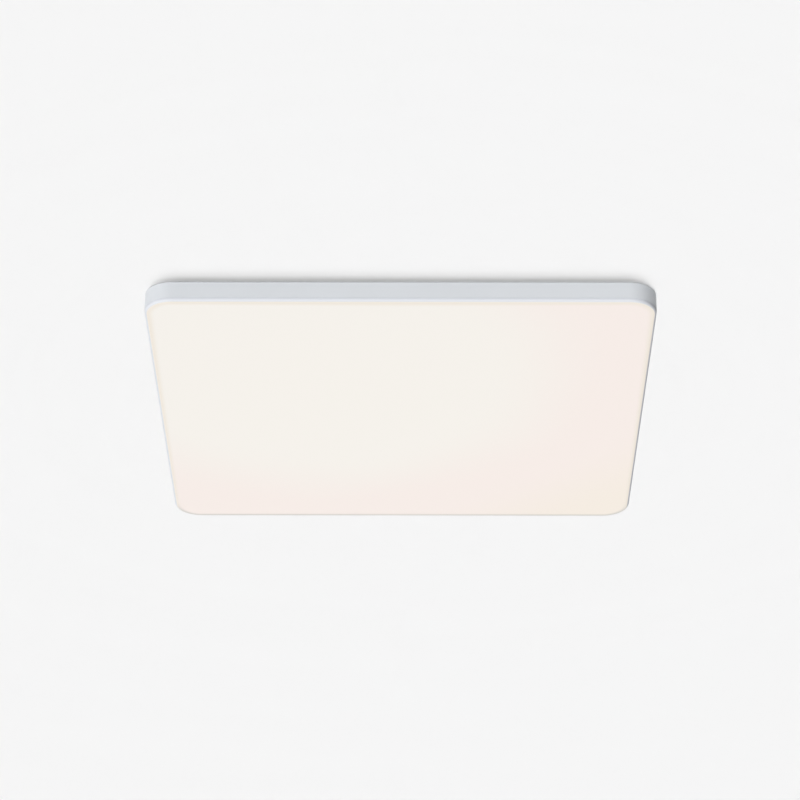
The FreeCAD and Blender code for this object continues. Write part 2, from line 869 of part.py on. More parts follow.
def spring_path():
    """Torsion spring about the pivot: a foot on the bracket, the turns, and a leg along the arm."""
    wire_half = spring_wire / 2
    foot = (-spring_foot_reach, base_top + wire_half + contact_gap)
    leg = (spring_arm_reach, web_top + wire_half + contact_gap)
    foot_touch = tangent_point(foot, spring_radius, 1)
    leg_touch = tangent_point(leg, spring_radius, -1)
    first = math.atan2(foot_touch[1], foot_touch[0])
    last = math.atan2(leg_touch[1], leg_touch[0])
    sweep = last - first + 2 * math.pi * spring_turns
    steps = math.ceil(sweep / (2 * math.pi) * spring_steps_per_turn)
    rise = spring_pitch / (2 * math.pi)
    half_rise = rise * sweep / 2

    def on_coil(angle):
        y = rise * (angle - first) - half_rise
        return Vec(spring_radius * math.cos(angle), y, spring_radius * math.sin(angle))

    def heading(angle, climb):
        return Vec(-spring_radius * math.sin(angle), climb, spring_radius * math.cos(angle)).normalize()

    angles = [first + sweep * index / steps for index in range(steps + 1)]
    climbs = [0.0] + [rise] * (steps - 1) + [0.0]
    edges = [line_edge(Vec(foot[0], -half_rise, foot[1]), on_coil(first))]
    for index in range(steps):
        start, end = angles[index], angles[index + 1]
        edges += biarc_edges(
            on_coil(start), heading(start, climbs[index]), on_coil(end), heading(end, climbs[index + 1]))
    edges.append(line_edge(on_coil(last + 2 * math.pi * spring_turns), Vec(leg[0], half_rise, leg[1])))
    return edges


def least_gap(edges, diameter):
    """Smallest clear distance between two stretches of a tube, measured on points of its path."""
    spacing = diameter / 5
    points = []
    travelled = 0.0
    for edge in edges:
        count = max(2, int(edge.Length / spacing))
        for index, point in enumerate(edge.discretize(count)):
            points.append((travelled + edge.Length * index / (count - 1), point))
        travelled += edge.Length
    apart = [
        a.distanceToPoint(b)
        for along_a, a in points
        for along_b, b in points
        if along_b - along_a > math.pi * diameter
    ]
    return min(apart) - diameter


def make_clip_spring():
    edges = spring_path()
    print("clip spring, least gap to itself: %.2f mm" % least_gap(edges, spring_wire))
    return in_place(wire_tube(edges, spring_wire / 2))


def make_driver_base():
    """Insulating base plate with posts for the board."""
    rear = partition_face - partition - base_gap
    front = -case_half_length + case_wall + base_gap
    half_width = case_inner_half - base_gap
    corner = case_corner - case_wall
    plate = slab(
        half_width, (rear - front) / 2, corner,
        case_bottom, case_bottom + base_thickness, 0, (front + rear) / 2)
    posts = [
        rod(post_radius, Vec(x, y, case_bottom), Vec(x, y, board_bottom))
        for x in (-board_half + post_inset, board_half - post_inset)
        for y in (board_front + post_inset, board_rear - post_inset)
    ]
    notch_half = lead_flange_radius + hole_gap
    notch = block(
        -notch_half, notch_half, front, lead_y + notch_half, case_bottom, case_bottom + base_thickness)
    return joined([plate] + posts).cut(notch)


def make_driver_case():
    """Moulded cover of the driver, with a terminal chamber, hinge lugs, hold-down ribs and screw ears."""
    body = slab(case_half_width, case_half_length, case_corner, case_bottom, case_roof)
    body = body.makeFillet(case_edge, level_edges(body, case_roof))
    inner_radius = case_corner - case_wall
    front = -case_half_length + case_wall
    rear = partition_face - partition
    room = slab(
        case_inner_half, (rear - front) / 2, inner_radius,
        case_bottom, case_roof - case_top, 0, (front + rear) / 2,
    )
    chamber = slab(
        case_inner_half, chamber_length / 2, inner_radius,
        chamber_base, case_roof, 0, partition_face + chamber_length / 2,
    )
    cover_space = block(
        -case_width, case_width, partition_face, case_length, chamber_rim, case_roof + case_top)
    body = body.cut([room, chamber, cover_space])

    shelf_top = hinge_z - knuckle_radius - shelf_gap
    shelf_end = hinge_y + knuckle_reach - shelf_gap
    shelf = block(
        -case_inner_half - contact_gap, case_inner_half + contact_gap,
        partition_face - contact_gap, shelf_end, shelf_top - shelf_thickness, shelf_top,
    )
    hinge_lug = arch(knuckle_radius, shelf_top - shelf_thickness / 2, hinge_z, 0, lug_thickness, "x")
    hinge_lugs = [
        hinge_lug.translated(Vec(x, hinge_y, 0))
        for x in (-hinge_half_length, hinge_half_length - lug_thickness)
    ]
    hold_downs = []
    for y in (board_front + post_inset, board_rear - post_inset):
        for low, high in (
            (-case_inner_half - contact_gap, -case_inner_half + hold_down_reach),
            (case_inner_half - hold_down_reach, case_inner_half + contact_gap),
        ):
            hold_downs.append(block(
                low, high, y - hold_down_width / 2, y + hold_down_width / 2,
                board_top + contact_gap, case_roof - case_top + contact_gap,
            ))
    ear = slab(
        ear_half_width, ear_length / 2 + case_wall / 2, ear_corner,
        case_bottom, case_bottom + ear_thickness, 0, case_half_length + ear_length / 2 - case_wall / 2,
    )
    ears = []
    for x in (-ear_offset, ear_offset):
        ears.extend(both_sides(ear.translated(Vec(x, 0, 0))))
    body = joined([body, shelf] + hinge_lugs + hold_downs + ears)

    cuts = [
        rod(case_screw_radius + hole_gap, Vec(x, y, case_bottom), Vec(x, y, case_bottom + ear_thickness))
        for x, y in case_screw_places
    ]
    cuts.append(rod(
        hinge_pin_radius + press_gap,
        Vec(-hinge_half_length, hinge_y, hinge_z), Vec(hinge_half_length, hinge_y, hinge_z)))
    inlet_start = Vec(0, chamber_end - contact_gap, inlet_z)
    cuts.append(rod(inlet_neck_radius + press_gap, inlet_start, Vec(0, case_length, inlet_z)))
    wire_z = input_lead_level()
    for x in input_lead_places():
        wire_start = Vec(x, rear - contact_gap, wire_z)
        cuts.append(rod(wire_radius + hole_gap, wire_start, Vec(x, partition_face + contact_gap, wire_z)))
    return body.cut(cuts)


def make_driver_case_screws():
    screw = pan_screw(case_screw_head_radius, case_screw_head_height, case_screw_radius, case_screw_length)
    seat = case_bottom + ear_thickness
    return Part.makeCompound([screw.translated(Vec(x, y, seat)) for x, y in case_screw_places])


def make_cable_grommet():
    """Rubber bush with a flange on both sides of the case's end wall."""
    bush = turned([
        (inlet_bore_radius, -inlet_flange_thickness),
        (inlet_flange_radius, -inlet_flange_thickness),
        (inlet_flange_radius, 0),
        (inlet_neck_radius, 0),
        (inlet_neck_radius, case_wall),
        (inlet_flange_radius, case_wall),
        (inlet_flange_radius, case_wall + inlet_flange_thickness),
        (inlet_bore_radius, case_wall + inlet_flange_thickness),
    ])
    return bush.rotated(ORIGIN, Vec(1, 0, 0), -90).translated(Vec(0, chamber_end, inlet_z))


def make_terminal_cover():
    """Lid of the terminal chamber with two hinge knuckles, locating ribs and a finger lip."""
    near = hinge_y + knuckle_reach
    far = case_half_length
    middle = (near + far) / 2
    plate = slab(case_half_width, (far - near) / 2, case_corner, cover_bottom, case_roof, 0, middle)
    square_end = block(
        -case_half_width, case_half_width, near, near + case_corner, cover_bottom, case_roof)
    lip = slab(
        lip_half_width, lip_reach, lip_corner, cover_bottom, case_roof, 0, far)
    plate = joined([plate, square_end, lip])
    plate = plate.makeFillet(cover_thickness / 2, level_edges(plate, case_roof))
    rib_outer = case_inner_half - hole_gap
    ribs = [
        block(low, low + cover_rib_width, near + case_corner, chamber_end - case_corner,
              cover_bottom - cover_rib_depth, cover_bottom + cover_thickness / 2)
        for low in (-rib_outer, rib_outer - cover_rib_width)
    ]
    knuckle_outer = hinge_half_length - lug_thickness - hole_gap
    knuckles = []
    for start in (-knuckle_outer, knuckle_outer - knuckle_length):
        knuckles.append(rod(
            knuckle_radius, Vec(start, hinge_y, hinge_z), Vec(start + knuckle_length, hinge_y, hinge_z)))
        knuckles.append(block(
            start, start + knuckle_length, hinge_y, near + cover_thickness,
            cover_bottom, cover_bottom + cover_thickness / 2))
    body = joined([plate] + ribs + knuckles)
    return body.cut(rod(
        hinge_pin_radius + running_gap,
        Vec(-case_width, hinge_y, hinge_z), Vec(case_width, hinge_y, hinge_z)))


def make_cover_hinge_pin():
    left_end = Vec(-hinge_half_length, hinge_y, hinge_z)
    return rod(hinge_pin_radius, left_end, Vec(hinge_half_length, hinge_y, hinge_z))


def make_driver_board():
    return block(-board_half, board_half, board_front, board_rear, board_bottom, board_top)


transformer_y = (board_front + board_rear) / 2


def make_transformer_core():
    """Ferrite frame: two outer legs, two yokes and the middle leg."""
    half_x = core_width / 2
    half_y = core_length / 2
    frame = block(-half_x, half_x, -half_y, half_y, 0, core_height)
    window_x = core_leg
    windows = [
        block(low, high, -half_y + core_leg, half_y - core_leg, 0, core_height)
        for low, high in ((-half_x + core_leg, -window_x / 2), (window_x / 2, half_x - core_leg))
    ]
    return frame.cut(windows).translated(Vec(0, transformer_y, board_top))


def make_transformer_winding():
    """Taped winding round the middle leg, filling the core's windows."""
    half_x = core_width / 2 - core_leg - winding_gap
    half_y = core_length / 2 - core_leg - winding_gap
    leg_half = core_leg / 2 + winding_gap
    height = core_height - core_leg / 2
    coil = slab(half_x, half_y, core_leg / 2, 0, height)
    slot = block(-leg_half, leg_half, -core_length, core_length, 0, height)
    return Part.makeCompound(coil.cut(slot).Solids).translated(Vec(0, transformer_y, board_top))


def make_capacitors():
    """Electrolytic cans with a crimp groove near the foot."""
    can = turned([
        (0, 0),
        (capacitor_radius, 0),
        (capacitor_radius, capacitor_groove * 2),
        (capacitor_radius - capacitor_groove, capacitor_groove * 3),
        (capacitor_radius, capacitor_groove * 4),
        (capacitor_radius, capacitor_height - capacitor_groove),
        (capacitor_radius - capacitor_groove, capacitor_height),
        (0, capacitor_height),
    ])
    x = board_half - component_margin - capacitor_radius
    y_rear = transformer_y + core_length / 2 + capacitor_radius + core_leg
    y_front = transformer_y - core_length / 2 - capacitor_radius - core_leg
    return Part.makeCompound([can.translated(Vec(px, py, board_top)) for px, py in
                              ((-x, y_rear), (x, y_rear), (x, y_front))])


def make_line_choke():
    """Drum core choke."""
    waist = choke_radius - choke_flange
    drum = turned([
        (0, 0),
        (choke_radius, 0),
        (choke_radius, choke_flange),
        (waist, choke_flange),
        (waist, choke_height - choke_flange),
        (choke_radius, choke_height - choke_flange),
        (choke_radius, choke_height),
        (0, choke_height),
    ])
    x = board_half - component_margin - choke_radius
    y = transformer_y - core_length / 2 - choke_radius - core_leg
    return drum.translated(Vec(-x, y, board_top))


def make_film_capacitor():
    box = slab(film_cap_length / 2, film_cap_width / 2, film_cap_width / 6, 0, film_cap_height)
    y = board_front + component_margin + film_cap_width / 2
    return box.translated(Vec(0, y, board_top))


def make_driver_chips():
    """Bridge rectifier, controller and power switch, flat on the board."""
    y_rear = transformer_y + core_length / 2 + capacitor_radius + core_leg
    y_front = transformer_y - core_length / 2 - capacitor_radius - core_leg
    y_switch = y_rear + rectifier_size[1] / 2 + switch_size[1] / 2 + component_margin
    chips = ((y_rear, rectifier_size), (y_front, controller_size), (y_switch, switch_size))
    return Part.makeCompound([
        block(-width / 2, width / 2, y - depth / 2, y + depth / 2, board_top, board_top + height)
        for y, (width, depth, height) in chips
    ])


# Places in the terminal chamber
terminal_front = partition_face + terminal_gap
terminal_rear = terminal_front + terminal_length
terminal_half = pole_pitch * pole_count / 2 + pole_side
pole_places = [pole_pitch * (index - (pole_count - 1) / 2) for index in range(pole_count)]
clamp_low = chamber_base + entry_height - clamp_height / 2


def input_lead_places():
    """Line and neutral, the two outer poles."""
    return (-pole_pitch, pole_pitch)


def input_lead_level():
    return board_top + wire_radius + contact_gap


def make_terminal_block():
    """Three-pole block with stepped top, screw wells and wire entries."""
    top = chamber_base + terminal_height
    body = profile_x(
        [
            (terminal_front, chamber_base),
            (terminal_rear, chamber_base),
            (terminal_rear, top - terminal_shoulder),
            (terminal_rear - terminal_shoulder, top),
            (terminal_front + terminal_shoulder, top),
            (terminal_front, top - terminal_shoulder),
        ],
        -terminal_half,
        terminal_half,
    )
    middle = (terminal_front + terminal_rear) / 2
    cuts = []
    for x in pole_places:
        cuts.append(rod(well_radius, Vec(x, middle, clamp_low), Vec(x, middle, top)))
        cuts.append(rod(
            entry_radius, Vec(x, middle, chamber_base + entry_height),
            Vec(x, terminal_rear, chamber_base + entry_height)))
        cuts.append(block(
            x - clamp_width / 2 - contact_gap, x + clamp_width / 2 + contact_gap,
            middle - clamp_length / 2 - contact_gap, middle + clamp_length / 2 + contact_gap,
            clamp_low - contact_gap, clamp_low + clamp_height + contact_gap,
        ))
    return body.cut(cuts)


def make_terminal_clamps():
    middle = (terminal_front + terminal_rear) / 2
    clamps = []
    for x in pole_places:
        cage = block(
            x - clamp_width / 2, x + clamp_width / 2,
            middle - clamp_length / 2, middle + clamp_length / 2, clamp_low, clamp_low + clamp_height)
        bore = rod(
            entry_radius, Vec(x, middle - clamp_length, chamber_base + entry_height),
            Vec(x, middle + clamp_length, chamber_base + entry_height))
        thread = rod(
            terminal_screw_radius + press_gap, Vec(x, middle, chamber_base + entry_height),
            Vec(x, middle, clamp_low + clamp_height))
        clamps.append(cage.cut([bore, thread]))
    return Part.makeCompound(clamps)


def make_terminal_screws():
    middle = (terminal_front + terminal_rear) / 2
    low = chamber_base + entry_height + entry_radius
    top = low + terminal_screw_height
    slot_depth = terminal_screw_radius / 2
    screws = []
    for x in pole_places:
        screw = rod(terminal_screw_radius, Vec(x, middle, low), Vec(x, middle, top))
        slot = block(
            x - terminal_screw_radius, x + terminal_screw_radius,
            middle - slot_depth / 3, middle + slot_depth / 3, top - slot_depth, top)
        screws.append(screw.cut(slot))
    return Part.makeCompound(screws)


def make_input_leads():
    """Line and neutral wires from the terminal block to the driver board."""
    z = input_lead_level()
    end = board_rear - post_inset
    return Part.makeCompound([
        rod(wire_radius, Vec(x, end, z), Vec(x, terminal_front, z)) for x in input_lead_places()])


def build_nodes():
    """Every piece by its node name, in the assembled rest position."""
    nodes = {
        "housing": make_housing(),
        "diffuser": make_diffuser(),
        "light_guide": make_light_guide(),
        "reflector_sheet": make_reflector_sheet(),
        "foam_pad": make_foam_pad(),
        "ceiling_seal": make_ceiling_seal(),
        "strip_jumpers": make_strip_jumpers(),
        "output_leads": make_output_leads(),
        "lead_grommet": make_lead_grommet(),
        "rail_screws": make_rail_screws(),
        "driver_base": make_driver_base(),
        "driver_case": make_driver_case(),
        "driver_case_screws": make_driver_case_screws(),
        "driver_board": make_driver_board(),
        "transformer_core": make_transformer_core(),
        "transformer_winding": make_transformer_winding(),
        "capacitors": make_capacitors(),
        "line_choke": make_line_choke(),
        "film_capacitor": make_film_capacitor(),
        "driver_chips": make_driver_chips(),
        "terminal_block": make_terminal_block(),
        "terminal_clamps": make_terminal_clamps(),
        "terminal_screws": make_terminal_screws(),
        "input_leads": make_input_leads(),
        "terminal_cover": make_terminal_cover(),
        "cover_hinge_pin": make_cover_hinge_pin(),
        "cable_grommet": make_cable_grommet(),
    }
    walls = ("front", "right", "rear", "left")
    for wall, strip, leds in zip(walls, quarter_turns(make_led_strip()), quarter_turns(make_leds())):
        nodes["led_strip_" + wall] = strip
        nodes["leds_" + wall] = leds
    clip_pieces = {
        "rail_plate": make_rail_plate(),
        "clip_bracket": make_clip_bracket(),
        "clip_nut": make_clip_nut(),
        "clip_pin": make_clip_pin(),
        "clip_spring": make_clip_spring(),
        "clip_arm": make_clip_arm(),
        "clip_pad": make_clip_pad(),
        "thumb_stud": make_thumb_stud(),
        "thumb_knob": make_thumb_knob(),
    }
    for name, shape in clip_pieces.items():
        right, left = both_sides(shape)
        nodes[name + "_right"] = right
        nodes[name + "_left"] = left
    return nodes


os.makedirs("parts", exist_ok=True)
for node, piece in build_nodes().items():
    piece.exportStep("parts/" + node + ".step")
print("pivot at rest: x %.3f, z %.3f" % (pivot_rest, pivot_z))
print("clip travel each way: %.3f" % ((pivot_outer - pivot_inner) / 2))
print("thumb screw at rest: x %.3f" % (pivot_rest - thumb_setback))
print("cover hinge: y %.3f, z %.3f" % (hinge_y, hinge_z))
print("cable inlet: y %.3f, z %.3f" % (chamber_end + case_wall / 2, inlet_z))
print("front face: z %.3f" % face)
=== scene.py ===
"""Looks of the square recessed LED panel light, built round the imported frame."""

import functools
import json
import math

import bmesh
import bpy
from mathutils import Matrix, Quaternion, Vector

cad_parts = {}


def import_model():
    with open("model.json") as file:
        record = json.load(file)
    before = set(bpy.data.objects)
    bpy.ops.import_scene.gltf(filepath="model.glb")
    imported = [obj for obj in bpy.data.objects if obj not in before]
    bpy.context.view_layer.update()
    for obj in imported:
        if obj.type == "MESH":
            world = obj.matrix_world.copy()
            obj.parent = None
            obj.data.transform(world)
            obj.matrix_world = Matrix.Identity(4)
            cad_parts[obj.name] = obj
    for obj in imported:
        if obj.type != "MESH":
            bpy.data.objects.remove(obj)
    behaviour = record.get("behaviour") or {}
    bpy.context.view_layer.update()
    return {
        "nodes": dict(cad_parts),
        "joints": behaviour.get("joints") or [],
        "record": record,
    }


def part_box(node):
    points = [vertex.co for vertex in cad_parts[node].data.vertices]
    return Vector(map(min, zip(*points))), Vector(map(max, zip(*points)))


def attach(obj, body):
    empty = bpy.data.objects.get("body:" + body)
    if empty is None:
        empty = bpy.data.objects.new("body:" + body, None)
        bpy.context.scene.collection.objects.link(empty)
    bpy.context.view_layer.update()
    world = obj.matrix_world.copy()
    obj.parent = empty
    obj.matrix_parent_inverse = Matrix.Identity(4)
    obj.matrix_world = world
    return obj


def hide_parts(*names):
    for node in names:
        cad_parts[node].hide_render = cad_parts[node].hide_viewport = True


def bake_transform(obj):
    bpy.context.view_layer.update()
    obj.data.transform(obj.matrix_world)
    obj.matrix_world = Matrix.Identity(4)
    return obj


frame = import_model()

MM = 0.001
MICRON = 0.000001
NODES = frame["nodes"]
BODY_OF = {node: body for body, nodes in frame["record"]["behaviour"]["bodies"].items() for node in nodes}
SLOT_OF = {part["node"]: part["material_slot"] for part in frame["record"]["subparts"]}
SIDES = {"right": 1, "left": -1}
WALLS = ("front", "right", "rear", "left")
WIRES = ("strip_jumpers", "output_leads", "input_leads")

# Sizes shared with the solids, in metres
PANEL_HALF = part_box("housing")[1].x
PANEL_CORNER = 12.7 * MM
PARTING_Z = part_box("housing")[0].z
FACE_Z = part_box("diffuser")[0].z
PIVOT = Vector(next(joint["pos_m"] for joint in frame["joints"] if joint["name"] == "right_arm_fold"))


class Nodes:
    """A shader's node tree, with short ways to fill it."""

    RANGE_SOCKETS = ("From Min", "From Max", "To Min", "To Max")
    # Where a Mix node has its colour sockets
    MIX_COLOURS = (6, 7)
    MIX_RESULT = 2

    def __init__(self, tree):
        self.tree = tree

    @functools.cached_property
    def place(self):
        """Place on the object, in metres."""
        return self.node("TexCoord").outputs["Object"]

    def node(self, kind, **settings):
        made = self.tree.nodes.new("ShaderNode" + kind)
        for name, setting in settings.items():
            setattr(made, name, setting)
        return made

    def link(self, source, target):
        """Feeds a socket from another one, or sets it to a plain number or colour."""
        if isinstance(source, bpy.types.NodeSocket):
            self.tree.links.new(source, target)
        else:
            target.default_value = source

    def value(self, operation, *terms):
        """Math node over numbers and sockets."""
        made = self.node("Math", operation=operation)
        for socket, term in zip(made.inputs, terms):
            self.link(term, socket)
        return made.outputs[0]

    def length(self, a, b):
        """Length of a line with these two parts."""
        squares = [self.value("MULTIPLY", part, part) for part in (a, b)]
        return self.value("SQRT", self.value("ADD", *squares))

    def spread(self, source, low, high, to_low=0.0, to_high=1.0, smooth=True):
        """A socket's range mapped to another range."""
        made = self.node("MapRange", interpolation_type="SMOOTHSTEP" if smooth else "LINEAR")
        self.link(source, made.inputs["Value"])
        for socket, number in zip(self.RANGE_SOCKETS, (low, high, to_low, to_high)):
            made.inputs[socket].default_value = number
        return made.outputs["Result"]

    def noise(self, scale, detail, stretch=(1, 1, 1), rough=0.5):
        """Noise with features about 1 / scale metres wide, drawn out on an axis where stretch is small."""
        mapped = self.node("Mapping")
        mapped.inputs["Scale"].default_value = stretch
        self.link(self.place, mapped.inputs["Vector"])
        made = self.node("TexNoise")
        made.inputs["Scale"].default_value = scale
        made.inputs["Detail"].default_value = detail
        made.inputs["Roughness"].default_value = rough
        self.link(mapped.outputs["Vector"], made.inputs["Vector"])
        return made.outputs["Fac"]

    def cells(self, scale, spread=1.0):
        """Distance from the middle of cells about 1 / scale metres wide, in even rows where spread is 0."""
        made = self.node("TexVoronoi")
        made.inputs["Scale"].default_value = scale
        made.inputs["Randomness"].default_value = spread
        self.link(self.place, made.inputs["Vector"])
        return made.outputs["Distance"]

    def axes(self):
        """The three parts of the place."""
        made = self.node("SeparateXYZ")
        self.link(self.place, made.inputs["Vector"])
        return made.outputs["X"], made.outputs["Y"], made.outputs["Z"]

    def mix(self, share, first, second):
        """Colour between two colours or sockets."""
        made = self.node("Mix", data_type="RGBA")
        self.link(share, made.inputs["Factor"])
        for index, colour in zip(self.MIX_COLOURS, (first, second)):
            self.link((*colour, 1.0) if isinstance(colour, tuple) else colour, made.inputs[index])
        return made.outputs[self.MIX_RESULT]

    def blend(self, share, first, second):
        """Shader between two shader nodes."""
        made = self.node("MixShader")
        for socket, source in zip(made.inputs, (share, first.outputs[0], second.outputs[0])):
            self.link(source, socket)
        return made.outputs[0]


class Look(Nodes):
    """A Principled material that gets its detail node by node."""

    def __init__(self, name, colour, roughness, metallic=0.0, **sockets):
        self.name = name
        self.material = bpy.data.materials.new(name)
        self.material.use_nodes = True
        super().__init__(self.material.node_tree)
        self.bsdf = self.tree.nodes["Principled BSDF"]
        self.bsdf.inputs["Base Color"].default_value = (*colour, 1.0)
        self.bsdf.inputs["Roughness"].default_value = roughness
        self.bsdf.inputs["Metallic"].default_value = metallic
        for socket, number in sockets.items():
            self.bsdf.inputs[socket.replace("_", " ")].default_value = number

    def mottle(self, share, second):
        """Lets a second colour show through by a share."""
        current = self.bsdf.inputs["Base Color"]
        first = current.links[0].from_socket if current.links else tuple(current.default_value)[:3]
        self.link(self.mix(share, first, second), current)

    def stain(self, pattern, low, high, most, second):
        """Lets a second colour show by up to a share, where a pattern rises from low to high."""
        self.mottle(self.spread(pattern, low, high, 0.0, most), second)

    def polish(self, pattern, low, high, from_low=0.3, from_high=0.7):
        """Roughness that follows a pattern."""
        self.link(self.spread(pattern, from_low, from_high, low, high), self.bsdf.inputs["Roughness"])

    def relief(self, pattern, height):
        """Bump of that height in metres, over what is there already."""
        made = self.node("Bump")
        made.inputs["Distance"].default_value = height
        self.link(pattern, made.inputs["Height"])
        normal = self.bsdf.inputs["Normal"]
        if normal.links:
            self.link(normal.links[0].from_socket, made.inputs["Normal"])
        self.link(made.outputs["Normal"], normal)


def coat_look():
    """Matt white powder coat with a fine orange peel."""
    look = Look("white_coat", (0.780, 0.808, 0.842), 0.48, Specular_IOR_Level=0.4)
    peel = look.noise(1100, 2.0)
    speck = look.noise(5200, 1.0)
    look.stain(look.noise(38, 4.0), 0.35, 0.7, 0.35, (0.75, 0.778, 0.81))
    look.stain(speck, 0.66, 0.74, 0.25, (0.69, 0.70, 0.72))
    look.polish(peel, 0.42, 0.54)
    look.relief(peel, 16 * MICRON)
    look.relief(speck, 4 * MICRON)
    return look


# Glow of the opal cap, ranges in metres: the field warms away from its centre and in the far right corner
GLOW_FIELD = (0.454, 0.422, 0.370)
GLOW_WARM = (0.463, 0.382, 0.339)
GLOW_CORNER = (0.450, 0.378, 0.296)
FIELD_OFFSET = 45 * MM
FIELD_WANDER = 30 * MM
WARM_RANGE = (100 * MM, 160 * MM)
CORNER_RANGE = (120 * MM, 200 * MM)
# The band inside the outline is warmer still, and narrows towards the far corners
GLOW_BAND = (0.400, 0.337, 0.247)
BAND_RANGE = (1.0 * MM, 4.5 * MM)
BAND_TAPER = 2.2
# The glow ends at the outline, further out at the right, and up the cap's side, and is cut back along the
# far edge as painted shade
GLOW_OUT = (0.01, 0.01, 0.011)
EDGE_RANGE = (0.7 * MM, 1.25 * MM)
RIGHT_RANGE = (100 * MM, 110 * MM)
RIGHT_REACH = 0.1 * MM
SIDE_RANGE = (FACE_Z + 0.4 * MM, FACE_Z + 0.8 * MM)
FAR_SHADE_EDGE_RANGE = (1.0 * MM, 3.8 * MM)
FAR_SHADE_RANGE = (96 * MM, 110 * MM)
FAR_SHADE_SHARE = 0.65
# The cap's own colour low on its side, then a darker colour higher up that is painted shade on its rounded
# edge
CAP_TINTS_AND_SHADE = {
    (0.745, 0.765, 0.81): (FACE_Z, FACE_Z + 0.3 * MM),
    (0.70, 0.72, 0.765): (FACE_Z + 0.5 * MM, FACE_Z + 1.1 * MM),
}


def outline_inset(look, x, y):
    """How far a place lies inside the panel's outline."""
    straight = PANEL_HALF - PANEL_CORNER
    reach_x, reach_y = (look.value("SUBTRACT", look.value("ABSOLUTE", a), straight) for a in (x, y))
    past = look.length(look.value("MAXIMUM", reach_x, 0.0), look.value("MAXIMUM", reach_y, 0.0))
    within = look.value("MINIMUM", look.value("MAXIMUM", reach_x, reach_y), 0.0)
    return look.value("SUBTRACT", look.value("SUBTRACT", PANEL_CORNER, past), within)


def opal_look():
    """Opal cap that glows over its face, warmer in a band at the outline, and hardly at all on its side;
    painted shade dims its far edge and its rounded side.
    """
    look = Look("opal", (0.50, 0.50, 0.50), 0.6, Specular_IOR_Level=0.25, Emission_Strength=1.0)
    x, y, z = look.axes()
    inset = outline_inset(look, x, y)
    away = look.length(look.value("ADD", x, FIELD_OFFSET), look.value("ADD", y, FIELD_OFFSET))
    drift = look.value("ADD", away, look.value("MULTIPLY", look.noise(9, 1.0), FIELD_WANDER))
    field = look.mix(look.spread(drift, *WARM_RANGE), GLOW_FIELD, GLOW_WARM)
    field = look.mix(look.spread(look.value("ADD", x, y), *CORNER_RANGE), field, GLOW_CORNER)
    narrow = look.value("ADD", y, look.value("ABSOLUTE", x))
    banded = look.value("MULTIPLY", inset, look.value("MULTIPLY_ADD", narrow, BAND_TAPER, 1.0))
    face = look.mix(look.spread(banded, *BAND_RANGE), GLOW_BAND, field)
    reach = look.value("ADD", inset, look.spread(x, *RIGHT_RANGE, 0.0, RIGHT_REACH))
    edge = look.spread(reach, *EDGE_RANGE, 1.0, 0.0)
    # Painted shade: the glow is cut back along the far edge, which takes less light
    far_edge_shade = look.spread(inset, *FAR_SHADE_EDGE_RANGE, FAR_SHADE_SHARE, 0.0)
    far_shade = look.value("MULTIPLY", far_edge_shade, look.spread(y, *FAR_SHADE_RANGE))
    dull = look.value("MAXIMUM", look.value("MAXIMUM", edge, look.spread(z, *SIDE_RANGE)), far_shade)
    look.link(look.mix(dull, face, GLOW_OUT), look.bsdf.inputs["Emission Color"])
    # Up the side the cap's own colour, then painted shade where the lamps light the rounded edge
    for tint, levels in CAP_TINTS_AND_SHADE.items():
        look.mottle(look.spread(z, *levels), tint)
    frost = look.noise(3600, 2.0)
    look.polish(frost, 0.55, 0.66)
    look.relief(frost, 3 * MICRON)
    return look


def zinc_look():
    """Bright zinc on pressed steel: drawn grain, faint yellow and blue bloom, small scuffs."""
    look = Look("zinc_steel", (0.60, 0.62, 0.65), 0.34, 1.0)
    bloom = look.noise(130, 3.0)
    grain = look.noise(2600, 3.0, stretch=(0.06, 1.0, 1.0))
    scuffs = look.noise(420, 5.0, stretch=(0.3, 1.0, 1.0), rough=0.65)
    look.stain(bloom, 0.38, 0.62, 0.55, (0.68, 0.655, 0.57))
    look.stain(look.noise(90, 2.0), 0.5, 0.7, 0.5, (0.53, 0.57, 0.64))
    look.stain(scuffs, 0.62, 0.7, 0.5, (0.42, 0.42, 0.43))
    wear = look.value("ADD", look.value("MULTIPLY", grain, 0.6), look.value("MULTIPLY", scuffs, 0.4))
    look.polish(wear, 0.24, 0.5)
    look.relief(grain, 4 * MICRON)
    return look


def spring_look():
    """Hard-drawn spring wire: dark, with fine lines and a film of oil."""
    look = Look("spring_steel", (0.33, 0.335, 0.35), 0.3, 1.0)
    lines = look.noise(4200, 2.0, stretch=(1.0, 0.12, 1.0))
    look.stain(look.noise(260, 3.0), 0.4, 0.65, 0.7, (0.23, 0.225, 0.22))
    look.polish(lines, 0.22, 0.42)
    look.relief(lines, 3 * MICRON)
    return look


def brass_look():
    """Turned brass with a brown film in places."""
    look = Look("brass", (0.72, 0.52, 0.22), 0.32, 1.0)
    look.stain(look.noise(300, 4.0), 0.45, 0.68, 0.75, (0.48, 0.30, 0.12))
    look.polish(look.noise(2400, 2.0, stretch=(1.0, 1.0, 0.1)), 0.22, 0.45)
    return look


def plastic_look(name, colour, shade, roughness, scale, height):
    """Moulded plastic with an eroded-tool texture and a little dust."""
    look = Look(name, colour, roughness, Specular_IOR_Level=0.45)
    texture = look.noise(scale, 2.0)
    look.stain(look.noise(55, 4.0), 0.4, 0.7, 0.6, shade)
    look.polish(texture, roughness - 0.07, roughness + 0.08)
    look.relief(texture, height)
    return look


def rubber_look():
    """Black rubber with a dull skin and pale dust."""
    look = Look("black_rubber", (0.022, 0.022, 0.023), 0.78, Specular_IOR_Level=0.3)
    skin = look.noise(2100, 4.0)
    look.stain(look.noise(160, 5.0), 0.52, 0.75, 0.5, (0.07, 0.068, 0.064))
    look.polish(skin, 0.68, 0.88)
    look.relief(skin, 12 * MICRON)
    return look


